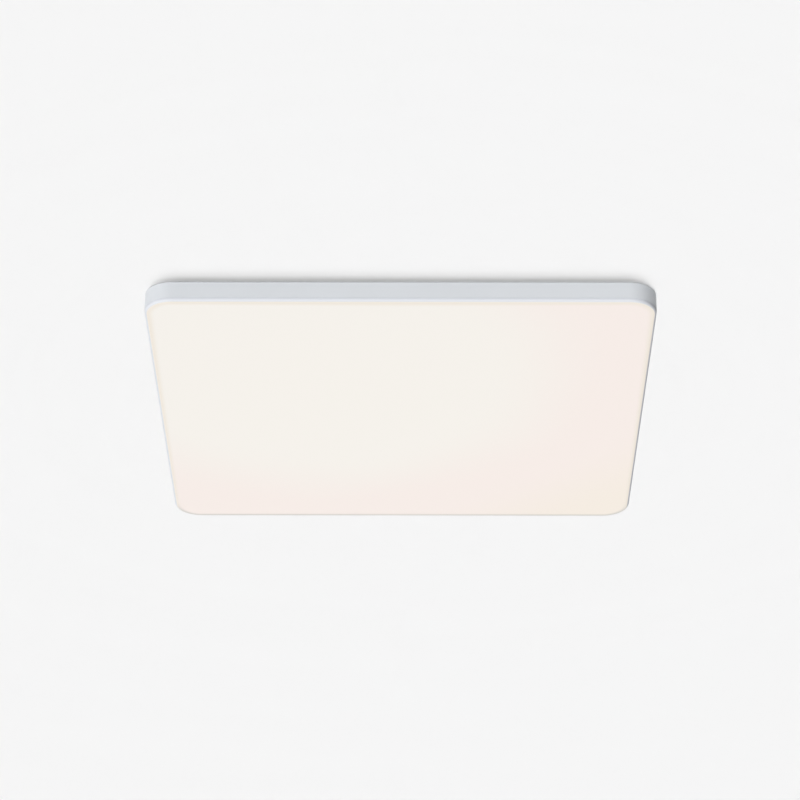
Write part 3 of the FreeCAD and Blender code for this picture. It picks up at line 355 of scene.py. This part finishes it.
def foam_look():
    """Closed-cell foam, dark, with open cells where it was cut."""
    look = Look("foam", (0.040, 0.041, 0.044), 0.92, Specular_IOR_Level=0.2)
    cells = look.cells(2600)
    look.stain(cells, 0.25, 0.55, 0.7, (0.085, 0.086, 0.09))
    look.relief(cells, 60 * MICRON)
    return look


def guide_look():
    """Clear acrylic with a fine field of printed dots."""
    look = Look("clear_acrylic", (0.93, 0.955, 0.96), 0.06, Transmission_Weight=0.85, IOR=1.49)
    dots = look.cells(900, spread=0.0)
    look.mottle(look.spread(dots, 0.22, 0.3, 1.0, 0.0), (0.95, 0.95, 0.94))
    look.polish(dots, 0.5, 0.05, 0.22, 0.3)
    return look


def film_look():
    """White reflector film with a faint fibre."""
    look = Look("white_film", (0.90, 0.90, 0.89), 0.6)
    fibre = look.noise(900, 4.0)
    look.stain(fibre, 0.4, 0.65, 0.6, (0.86, 0.86, 0.855))
    look.polish(fibre, 0.52, 0.68)
    return look


def board_look(name, mask, trace, scale):
    """Circuit board: solder mask over tracks that show as faint bands, with a woven glint."""
    look = Look(name, mask, 0.4)
    bands = look.node("TexBrick", offset=0.5)
    layout = {"Scale": scale, "Mortar Size": 0.06, "Brick Width": 0.8, "Row Height": 0.22}
    for socket, number in layout.items():
        bands.inputs[socket].default_value = number
    look.link(look.place, bands.inputs["Vector"])
    look.mottle(bands.outputs["Fac"], trace)
    look.polish(look.noise(2400, 1.0), 0.32, 0.48)
    look.relief(bands.outputs["Fac"], 30 * MICRON)
    return look


def winding_look():
    """Polyester tape wound round the coil."""
    look = Look("winding_tape", (0.78, 0.55, 0.06), 0.3, Specular_IOR_Level=0.5)
    laps = look.node("TexWave", wave_type="BANDS", bands_direction="Z")
    laps.inputs["Scale"].default_value = 140
    laps.inputs["Distortion"].default_value = 0.6
    look.link(look.place, laps.inputs["Vector"])
    look.stain(laps.outputs["Fac"], 0.75, 0.95, 0.6, (0.58, 0.37, 0.03))
    look.polish(laps.outputs["Fac"], 0.24, 0.4)
    look.relief(laps.outputs["Fac"], 40 * MICRON)
    return look


def ferrite_look():
    """Grey-black fired ferrite with pores."""
    look = Look("ferrite", (0.055, 0.053, 0.055), 0.7)
    pores = look.noise(1900, 5.0, rough=0.6)
    look.stain(pores, 0.55, 0.72, 0.7, (0.13, 0.125, 0.12))
    look.polish(pores, 0.55, 0.82)
    look.relief(pores, 20 * MICRON)
    return look


def phosphor_look():
    """Yellow LED phosphor, grainy, with a faint glow of its own."""
    look = Look("led_phosphor", (0.93, 0.72, 0.16), 0.35, Emission_Strength=0.35)
    grain = look.noise(6500, 3.0)
    look.stain(grain, 0.45, 0.65, 0.6, (0.98, 0.82, 0.30))
    look.bsdf.inputs["Emission Color"].default_value = (1.0, 0.86, 0.55, 1.0)
    look.relief(grain, 8 * MICRON)
    return look


# Colour, second colour, roughness, and the texture's scale and height
PLASTICS = {
    "wire_grey": ((0.30, 0.30, 0.31), (0.24, 0.24, 0.25), 0.42, 2500, 4 * MICRON),
    "wire_brown": ((0.13, 0.055, 0.025), (0.10, 0.04, 0.02), 0.42, 2500, 4 * MICRON),
    "case_plastic": ((0.76, 0.76, 0.745), (0.70, 0.70, 0.685), 0.52, 3000, 8 * MICRON),
    "capacitor_sleeve": ((0.018, 0.02, 0.035), (0.03, 0.032, 0.05), 0.3, 1500, 4 * MICRON),
    "black_plastic": ((0.02, 0.02, 0.021), (0.032, 0.032, 0.032), 0.5, 3000, 8 * MICRON),
    "terminal_plastic": ((0.66, 0.68, 0.70), (0.61, 0.63, 0.65), 0.36, 2200, 5 * MICRON),
}
# Solder mask, tracks and the scale of their bands
BOARDS = {
    "circuit_board": ((0.012, 0.10, 0.035), (0.02, 0.16, 0.06), 160),
    "led_board": ((0.84, 0.84, 0.82), (0.78, 0.775, 0.75), 120),
}
SINGLE_LOOKS = (
    coat_look, opal_look, guide_look, film_look, foam_look, rubber_look,
    zinc_look, spring_look, brass_look, ferrite_look, winding_look, phosphor_look,
)
LOOKS = {name: plastic_look(name, *recipe) for name, recipe in PLASTICS.items()}
LOOKS.update({name: board_look(name, *recipe) for name, recipe in BOARDS.items()})
LOOKS.update({look.name: look for look in (make() for make in SINGLE_LOOKS)})

# Meshes: welding distance in metres, and angles that count as flat, as an edge to round and as a crease
WELD = 2e-7
FLAT_ANGLE = math.radians(0.4)
WIRE_FLAT_ANGLE = math.radians(0.1)
SHARP_ANGLE = math.radians(28)
CREASE_ANGLE = math.radians(50)


def finish_mesh(bm, node, *looks):
    """New piece that stands for a node and takes its slot; it wears the slot's look, or the looks given."""
    name = node + "_piece"
    mesh = bpy.data.meshes.new(name)
    bm.normal_update()
    for face in bm.faces:
        face.smooth = True
    for edge in bm.edges:
        edge.smooth = len(edge.link_faces) != 2 or edge.calc_face_angle() < CREASE_ANGLE
    bm.to_mesh(mesh)
    bm.free()
    for look in looks or (LOOKS[SLOT_OF[node]],):
        mesh.materials.append(look.material)
    piece = bpy.data.objects.new(name, mesh)
    bpy.context.scene.collection.objects.link(piece)
    piece.modifiers.new("flat_faces", "WEIGHTED_NORMAL").keep_sharp = True
    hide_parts(node)
    return piece


def finish_rigid(bm, node, *looks):
    """New piece from a mesh that rides on the node's body."""
    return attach(finish_mesh(bm, node, *looks), BODY_OF[node])


def clean_copy(node):
    """The node's mesh with its seams closed and its flat faces whole."""
    bm = bmesh.new()
    bm.from_mesh(NODES[node].data)
    bmesh.ops.remove_doubles(bm, verts=bm.verts, dist=WELD)
    flat = WIRE_FLAT_ANGLE if node in WIRES else FLAT_ANGLE
    bmesh.ops.dissolve_limit(bm, angle_limit=flat, verts=bm.verts, edges=bm.edges)
    return bm


def round_edges(bm, width, segments, where=None):
    """Rounds the sharp edges, all of them or those whose middle fits."""
    sharp = [
        e for e in bm.edges
        if len(e.link_faces) == 2 and e.calc_face_angle() > SHARP_ANGLE
        and (where is None or where((e.verts[0].co + e.verts[1].co) / 2))
    ]
    bmesh.ops.bevel(
        bm, geom=sharp, offset=width, offset_type="OFFSET", segments=segments, profile=0.5, affect="EDGES",
        clamp_overlap=False)


def afresh(bm):
    """A copy of a mesh in a clean store, so that the next step orders its faces the same way each run."""
    copy = bm.copy()
    bm.free()
    return copy


def dress(node, width, where=None):
    """A rigid node with its edges broken as the real piece's are."""
    bm = clean_copy(node)
    round_edges(bm, width, 2, where)
    return finish_rigid(bm, node)


# Housing: finer edges on the wall's end at the parting line
HOUSING_EDGE = 0.22 * MM
WALL_END_EDGE = 0.04 * MM
WALL_END_HEIGHT = 0.5 * MM


def dress_housing():
    """The tray with its edges rounded."""
    bm = clean_copy("housing")
    end_level = PARTING_Z + WALL_END_HEIGHT
    round_edges(bm, WALL_END_EDGE, 2, lambda p: p.z < end_level)
    bm = afresh(bm)
    round_edges(bm, HOUSING_EDGE, 3, lambda p: p.z >= end_level)
    return finish_rigid(bm, "housing")


# Driver case: how far the hinge's zone reaches round its pin, and where the well's corners run out
CASE_EDGE = 0.25 * MM
HINGE_EDGE = 0.1 * MM
HINGE_BEFORE = 10 * MM
HINGE_AFTER = 4 * MM
HINGE_BELOW = 4 * MM
CUSP_X = 20 * MM
CUSP_X_REACH = 1.1 * MM
CUSP_Y = 20.2 * MM
CUSP_Y_REACH = 0.5 * MM


def dress_case():
    """Driver case: broad edges, finer ones at the cover's hinge, none where the well's corners run out."""
    bm = clean_copy("driver_case")
    low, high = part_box("cover_hinge_pin")

    def at_hinge(p):
        return low.y - HINGE_BEFORE < p.y < high.y + HINGE_AFTER and p.z > low.z - HINGE_BELOW

    def at_cusp(p):
        return abs(abs(p.x) - CUSP_X) < CUSP_X_REACH and abs(p.y - CUSP_Y) < CUSP_Y_REACH

    round_edges(bm, HINGE_EDGE, 2, lambda p: at_hinge(p) and not at_cusp(p))
    bm = afresh(bm)
    round_edges(bm, CASE_EDGE, 3, lambda p: not at_hinge(p))
    bm = afresh(bm)
    bmesh.ops.remove_doubles(bm, verts=bm.verts, dist=WELD)
    return finish_rigid(bm, "driver_case")


# LEDs: the rim round the window, its depth, and the least cosine of a side that faces the light guide
WINDOW_RIM = 0.45 * MM
WINDOW_DEPTH = 0.12 * MM
FACING = 0.9


def dress_leds(node):
    """LED packages with a sunk phosphor window on the side that faces the light guide."""
    bm = clean_copy(node)
    middle = (Vector(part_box(node)[0]) + Vector(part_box(node)[1])) / 2
    inward = Vector((-middle.x, -middle.y, 0)).normalized()
    fronts = [f for f in bm.faces if f.normal.dot(inward) > FACING]
    bmesh.ops.inset_individual(bm, faces=fronts, thickness=WINDOW_RIM, depth=-WINDOW_DEPTH)
    for face in fronts:
        face.material_index = 1
    return finish_rigid(bm, node, LOOKS["led_board"], LOOKS["led_phosphor"])


# Thumb knobs, in millimetres
KNOB_RADIUS = 5.5
KNOB_EDGE = 0.8
KNOB_SOFT = 0.25
CORNER_STEPS = 4
SCALLOPS = 12
SCALLOP_RADIUS = 1.0
SCALLOP_AXIS = 6.0
SCALLOP_STEPS = 20
BORE_GAP = 0.02


def soft_corners(points, reach):
    """An open line of (radius, height) points with its inner corners rounded off within reach."""
    points = [Vector(p) for p in points]
    line = [points[0]]
    for before, corner, after in zip(points, points[1:], points[2:]):
        start = corner + (before - corner).normalized() * reach
        end = corner + (after - corner).normalized() * reach
        for step in range(CORNER_STEPS + 1):
            share = step / CORNER_STEPS
            line.append(start.lerp(corner, share).lerp(corner.lerp(end, share), share))
    return line + [points[-1]]


def knob_radius(radius, angle):
    """Radius at an angle, where the nearest scallop cuts in with a soft edge."""
    pitch = 2 * math.pi / SCALLOPS
    off = (angle + pitch / 2) % pitch - pitch / 2
    across = SCALLOP_AXIS * math.sin(off)
    if abs(across) >= SCALLOP_RADIUS:
        return radius
    cut = SCALLOP_AXIS * math.cos(off) - math.sqrt(SCALLOP_RADIUS ** 2 - across ** 2)
    overlap = max(KNOB_SOFT - abs(radius - cut), 0) / KNOB_SOFT
    return min(radius, cut) - overlap ** 2 * KNOB_SOFT / 4


def join_rings(bm, rings):
    """Faces between each ring of points and the next, with both ends closed."""
    count = len(rings[0])
    for low, high in zip(rings, rings[1:]):
        for k in range(count):
            bm.faces.new((low[k], low[(k + 1) % count], high[(k + 1) % count], high[k]))
    bm.faces.new(rings[0][::-1])
    bm.faces.new(rings[-1])


def dress_knob(side):
    """Moulded knob with finger scallops and soft edges, open below for its stud."""
    node = "thumb_knob_" + side
    low, high = (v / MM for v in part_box(node))
    stud_low, stud_high = (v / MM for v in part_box("thumb_stud_" + side))
    bore = (stud_high.x - stud_low.x) / 2 + BORE_GAP
    axis = (stud_low + stud_high) / 2
    profile = [(bore, stud_high.z + BORE_GAP), (bore, low.z)]
    profile += soft_corners([
        (bore + KNOB_EDGE, low.z), (KNOB_RADIUS - KNOB_EDGE, low.z), (KNOB_RADIUS, low.z + KNOB_EDGE),
        (KNOB_RADIUS, high.z - KNOB_EDGE), (KNOB_RADIUS - KNOB_EDGE, high.z), (bore, high.z),
    ], KNOB_SOFT)
    bm = bmesh.new()
    count = SCALLOPS * SCALLOP_STEPS
    rings = []
    for radius, level in profile:
        ring = []
        for index in range(count):
            angle = 2 * math.pi * index / count
            reach = knob_radius(radius, angle)
            spot = Vector((axis.x + reach * math.cos(angle), axis.y + reach * math.sin(angle), level))
            ring.append(bm.verts.new(spot * MM))
        rings.append(ring)
    join_rings(bm, rings)
    return finish_rigid(bm, node)


# Rubber shoes: only edges this near to their top or bottom are rounded
PAD_EDGE = 0.25 * MM
PAD_BAND = 0.8 * MM


def dress_pad(side):
    """Rubber shoe: its outer edges are soft, the slot for the arm's tongue stays as cut."""
    node = "clip_pad_" + side
    low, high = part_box(node)
    return dress(node, PAD_EDGE, lambda p: min(p.z - low.z, high.z - p.z) < PAD_BAND)


# Width of the broken edges of the other rigid nodes, in millimetres
EDGES = {
    "diffuser": 0.04, "light_guide": 0.15, "reflector_sheet": 0.05, "strip_jumpers": 0.08,
    "output_leads": 0.08, "lead_grommet": 0.25, "rail_screws": 0.06, "driver_base": 0.2,
    "driver_case_screws": 0.03, "driver_board": 0.08, "transformer_core": 0.3, "transformer_winding": 0.3,
    "capacitors": 0.25, "line_choke": 0.25, "film_capacitor": 0.5, "driver_chips": 0.12,
    "terminal_block": 0.16, "terminal_clamps": 0.05, "terminal_screws": 0.1, "input_leads": 0.08,
    "terminal_cover": 0.25, "cover_hinge_pin": 0.15, "cable_grommet": 0.35,
}
STRIP_EDGE = 0.06
CLIP_EDGES = {
    "rail_plate_": 0.12, "clip_bracket_": 0.16, "clip_nut_": 0.15, "clip_pin_": 0.12, "clip_arm_": 0.14,
    "thumb_stud_": 0.15,
}
for wall in WALLS:
    EDGES["led_strip_" + wall] = STRIP_EDGE
for side in SIDES:
    EDGES.update({stem + side: width for stem, width in CLIP_EDGES.items()})

dress_housing()
dress_case()
for side in SIDES:
    dress_knob(side)
    dress_pad(side)
for node, width in EDGES.items():
    dress(node, width * MM)
for wall in WALLS:
    dress_leds("leds_" + wall)

# Clip springs, in the clip's own frame with the pivot at zero, in millimetres
SPRING_WIRE = 1.0
SPRING_RADIUS = 2.5
SPRING_PITCH = 1.6
SPRING_TURNS = 4
SPRING_FOOT = (-6.6, -9.70)
SPRING_LEG = (16.0, -3.55)
# The turn over which each end of the coil levels out, steps, and the cut at the wire's ends over its radius
EASED_TURN = 0.5
LEG_STEPS = 10
COIL_STEPS = 40
TUBE_SIDES = 20
END_CUT = 0.25


def touch_angle(point, turn):
    """Angle on the coil where the straight leg to an outer (x, z) point leaves it."""
    return math.atan2(point[1], point[0]) + turn * math.acos(SPRING_RADIUS / math.hypot(*point))


def spring_route():
    """Points of the wire's middle line and the coil's half length."""
    first = touch_angle(SPRING_FOOT, 1)
    sweep = touch_angle(SPRING_LEG, -1) - first + 2 * math.pi * SPRING_TURNS
    rise = SPRING_PITCH * sweep / (2 * math.pi)
    half_rise = rise / 2
    steps = round(sweep / (2 * math.pi) * COIL_STEPS)
    route = []
    for index in range(steps + 1):
        share = index / steps
        angle = first + sweep * share
        ease = min(1.0, share * SPRING_TURNS / EASED_TURN, (1 - share) * SPRING_TURNS / EASED_TURN)
        end = half_rise if share > 0.5 else -half_rise
        level = end + (rise * share - half_rise - end) * ease * ease * (3 - 2 * ease)
        route.append(Vector((SPRING_RADIUS * math.cos(angle), level, SPRING_RADIUS * math.sin(angle))))
    foot = Vector((SPRING_FOOT[0], -half_rise, SPRING_FOOT[1]))
    leg = Vector((SPRING_LEG[0], half_rise, SPRING_LEG[1]))
    before = [foot.lerp(route[0], step / LEG_STEPS) for step in range(LEG_STEPS)]
    after = [leg.lerp(route[-1], step / LEG_STEPS) for step in range(LEG_STEPS)]
    return before + route + after[::-1], half_rise


def tube(route, radius, sides):
    """Round wire along a route, its cut ends slightly rounded."""
    runs = [(b - a).normalized() for a, b in zip(route, route[1:])]
    turns = [(a + b).normalized() for a, b in zip(runs, runs[1:])]
    cut = radius * END_CUT
    stations = [(route[0], runs[0], radius - cut), (route[0] + runs[0] * cut, runs[0], radius)]
    stations += [(point, along, radius) for point, along in zip(route[1:-1], turns)]
    stations += [(route[-1] - runs[-1] * cut, runs[-1], radius), (route[-1], runs[-1], radius - cut)]
    bm = bmesh.new()
    rings = []
    side = runs[0].orthogonal().normalized()
    for point, along, size in stations:
        side = (side - along * side.dot(along)).normalized()
        other = along.cross(side)
        rings.append([
            bm.verts.new(point + (side * math.cos(a) + other * math.sin(a)) * size)
            for a in (2 * math.pi * k / sides for k in range(sides))
        ])
    join_rings(bm, rings)
    return bm


def dress_spring(side):
    """Torsion spring coiled between the clip's carriage and its arm, as one fixed mesh."""
    node = "clip_spring_" + side
    route, half_rise = spring_route()
    bm = tube([p * MM for p in route], SPRING_WIRE / 2 * MM, TUBE_SIDES)
    turn = Matrix.Rotation(0.0 if side == "right" else math.pi, 4, "Z")
    place = turn @ Matrix.Translation(PIVOT)
    bm.transform(place)
    piece = finish_mesh(bm, node)
    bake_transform(piece)


# Foam: rounding of its cut edges
FOAM_EDGE = 0.4 * MM


def dress_foam(node):
    """A foam piece with soft cut edges."""
    bm = clean_copy(node)
    round_edges(bm, FOAM_EDGE, 4)
    return finish_rigid(bm, node)


for side in SIDES:
    dress_spring(side)
dress_foam("ceiling_seal")
dress_foam("foam_pad")


def srgb(*levels):
    """Linear colour of an sRGB triple from 0 to 255."""
    shares = [level / 255 for level in levels]
    return tuple(c / 12.92 if c <= 0.04045 else ((c + 0.055) / 1.055) ** 2.4 for c in shares)


# Ceiling: height over the panel's seat, reach over its rim, and outer size over inner size
PALE = srgb(246, 246, 246)
CEILING_GAP = 0.05 * MM
CEILING_INSET = 0.5 * MM
CEILING_SCALE = 70
OUTLINE_STEPS = 12
# Light from all round, and the card round the panel's side, dim inside at the right and more so low down
AMBIENT = 0.44
CARD_GAP = 0.6 * MM
CARD_LOW = 0.13
CARD_HIGH = 0.35
CARD_RISE = 2.6 * MM
CARD_FADE = 7.5 * MM
# Lamps on the ceiling: shares of light by their lean from far to near, and their lean inwards, in degrees
KEY_FAN = {8: 0.112, 16: 0.092, 24: 0.135, 32: 0.076, 40: 0.073, 48: 0.072}
KEY_INWARD = {"right": 16, "left": 22}
KEY_ANGLE = 14
# Lamps on all but the ceiling, and lamps on everything: heading, share of light, and angle in degrees
PANEL_LAMPS = {
    "fill_near": ((0.47, 0.84, 0.27), 0.475, 28),
    "fill_below": ((0.33, 0.06, 0.94), 0.34, 28),
}
TOP_LAMPS = {
    "key_above": ((0.35, 0.45, -0.82), 0.5, 20),
    "fill_above": ((-0.55, -0.35, -0.75), 0.2, 40),
}
# Camera fitted to the photograph: its place, its turns in degrees, and its focal length in pixels
EYE = Vector((5.94, -1311.28, -661.72)) * MM
PITCH = 26.737
YAW = 0.286
ROLL = 0.2
FOCAL_LENGTH = 3132.5
IMAGE_WIDTH = 800
SENSOR_WIDTH = 36.0


def outline(half, corner, level):
    """Points round a square with rounded corners."""
    points = []
    for turn in range(4):
        middle = Matrix.Rotation(math.pi / 2 * turn, 3, "Z") @ Vector((1, 1, 0)) * (half - corner)
        for step in range(OUTLINE_STEPS + 1):
            angle = math.pi / 2 * (turn + step / OUTLINE_STEPS)
            arc = Vector((math.cos(angle), math.sin(angle), 0)) * corner
            points.append(middle + arc + Vector((0, 0, level)))
    return points


def stage_strip(name, inner, outer, shader):
    """Stage piece between two lines of points, with one shader."""
    count = len(inner)
    mesh = bpy.data.meshes.new(name)
    faces = [(i, i + 1, i + 1 + count, i + count) for i in range(count - 1)]
    mesh.from_pydata(inner + outer, [], faces)
    strip = bpy.data.objects.new(name, mesh)
    bpy.context.scene.collection.objects.link(strip)
    material = bpy.data.materials.new(name)
    material.use_nodes = True
    nodes = Nodes(material.node_tree)
    nodes.tree.nodes.clear()
    nodes.link(shader(nodes), nodes.node("OutputMaterial").inputs["Surface"])
    mesh.materials.append(material)
    return strip


def ceiling_paint(nodes):
    """Pale paint on the lower side, nothing on the upper one."""
    paint = nodes.node("BsdfDiffuse")
    paint.inputs["Color"].default_value = (*PALE, 1.0)
    backfacing = nodes.node("NewGeometry").outputs["Backfacing"]
    return nodes.blend(backfacing, paint, nodes.node("BsdfTransparent"))


def ceiling(side):
    """The right or left half of a plain pale ceiling that is only there when seen from below."""
    half = PANEL_HALF - CEILING_INSET
    inner = [p for p in outline(half, PANEL_CORNER - CEILING_INSET, CEILING_GAP) if p.x > 0]
    inner += [Vector((0, end * half, CEILING_GAP)) for end in (1, -1)]
    inner.sort(key=lambda p: math.atan2(p.y, p.x))
    turn = Matrix.Rotation(0.0 if side == "right" else math.pi, 3, "Z")
    inner = [turn @ p for p in inner]
    outer = [Vector((p.x * CEILING_SCALE, p.y * CEILING_SCALE, p.z)) for p in inner]
    return stage_strip("ceiling_" + side, inner, outer, ceiling_paint)


def card_glow(nodes):
    """Even light outside; inside it dims towards the right, most of all low down."""
    x, _, z = nodes.axes()
    fade = nodes.spread(x, PANEL_HALF - CARD_FADE, PANEL_HALF + CARD_GAP, smooth=False)
    end = nodes.spread(z, FACE_Z, FACE_Z + CARD_RISE, CARD_LOW, CARD_HIGH, smooth=False)
    inside = nodes.value("MULTIPLY_ADD", fade, nodes.value("SUBTRACT", end, AMBIENT), AMBIENT)
    backfacing = nodes.node("NewGeometry").outputs["Backfacing"]
    strength = nodes.value("MULTIPLY_ADD", backfacing, nodes.value("SUBTRACT", AMBIENT, inside), inside)
    glow = nodes.node("Emission")
    nodes.link(strength, glow.inputs["Strength"])
    return glow.outputs[0]


def light_card():
    """Card round the panel's side, met by diffuse light alone, that keeps its bounce off the ceiling."""
    half = PANEL_HALF + CARD_GAP
    corner = PANEL_CORNER + CARD_GAP
    top, bottom = (outline(half, corner, level) for level in (0.0, FACE_Z - CARD_GAP))
    card = stage_strip("light_card", top + top[:1], bottom + bottom[:1], card_glow)
    card.visible_camera = False
    card.visible_glossy = False
    card.visible_transmission = False
    card.visible_shadow = False
    card.data.materials[0].cycles.emission_sampling = "NONE"


def world():
    """Even dim light; the camera, reflections and clear pieces see the pale background."""
    studio = bpy.data.worlds.new("studio")
    bpy.context.scene.world = studio
    studio.use_nodes = True
    nodes = Nodes(studio.node_tree)
    nodes.tree.nodes.clear()
    light = nodes.node("Background")
    light.inputs["Color"].default_value = (1.0, 1.0, 1.0, 1.0)
    light.inputs["Strength"].default_value = AMBIENT
    seen = nodes.node("Background")
    seen.inputs["Color"].default_value = (*PALE, 1.0)
    path = nodes.node("LightPath").outputs
    direct = nodes.value("MAXIMUM", path["Is Camera Ray"], path["Is Glossy Ray"])
    direct = nodes.value("MAXIMUM", direct, path["Is Transmission Ray"])
    nodes.link(nodes.blend(direct, light, seen), nodes.node("OutputWorld").inputs["Surface"])


def sun(name, heading, share, angle):
    """Distant lamp that shines along heading; share 1 lights a facing surface to its own colour."""
    data = bpy.data.lights.new(name, "SUN")
    data.energy = share * math.pi
    data.angle = math.radians(angle)
    lamp = bpy.data.objects.new(name, data)
    lamp.rotation_mode = "QUATERNION"
    lamp.rotation_quaternion = Vector(heading).to_track_quat("-Z", "Y")
    bpy.context.scene.collection.objects.link(lamp)
    return lamp


def aim(lamp, things, state):
    """The lamp lights these things alone with INCLUDE, or all but these with EXCLUDE."""
    group = bpy.data.collections.new(lamp.name + "_group")
    for thing in things:
        group.objects.link(thing)
    for member in group.collection_objects:
        member.light_linking.link_state = state
    lamp.light_linking.receiver_collection = group


def camera():
    """The photograph's camera."""
    pitch, yaw, roll = (math.radians(turn) for turn in (PITCH, YAW, ROLL))
    data = bpy.data.cameras.new("camera")
    data.sensor_width = SENSOR_WIDTH
    data.lens = FOCAL_LENGTH / IMAGE_WIDTH * SENSOR_WIDTH
    eye = bpy.data.objects.new("camera", data)
    eye.location = EYE
    level = math.cos(pitch)
    heading = Vector((-math.sin(yaw) * level, math.cos(yaw) * level, math.sin(pitch)))
    eye.rotation_mode = "QUATERNION"
    eye.rotation_quaternion = heading.to_track_quat("-Z", "Y") @ Quaternion((0, 0, 1), roll)
    bpy.context.scene.collection.objects.link(eye)
    bpy.context.scene.camera = eye


halves = {side: ceiling(side) for side in SIDES}
light_card()
world()
for side, sign in SIDES.items():
    for lean, share in KEY_FAN.items():
        inward = -sign * math.tan(math.radians(KEY_INWARD[side]))
        heading = Vector((inward, -math.tan(math.radians(lean)), 1.0))
        lamp = sun("key_%s_%d" % (side, lean), heading, share * heading.length, KEY_ANGLE)
        aim(lamp, [halves[side]], "INCLUDE")
for name, recipe in PANEL_LAMPS.items():
    aim(sun(name, *recipe), halves.values(), "EXCLUDE")
for name, recipe in TOP_LAMPS.items():
    sun(name, *recipe)
camera()

bpy.context.scene.view_settings.view_transform = "Standard"
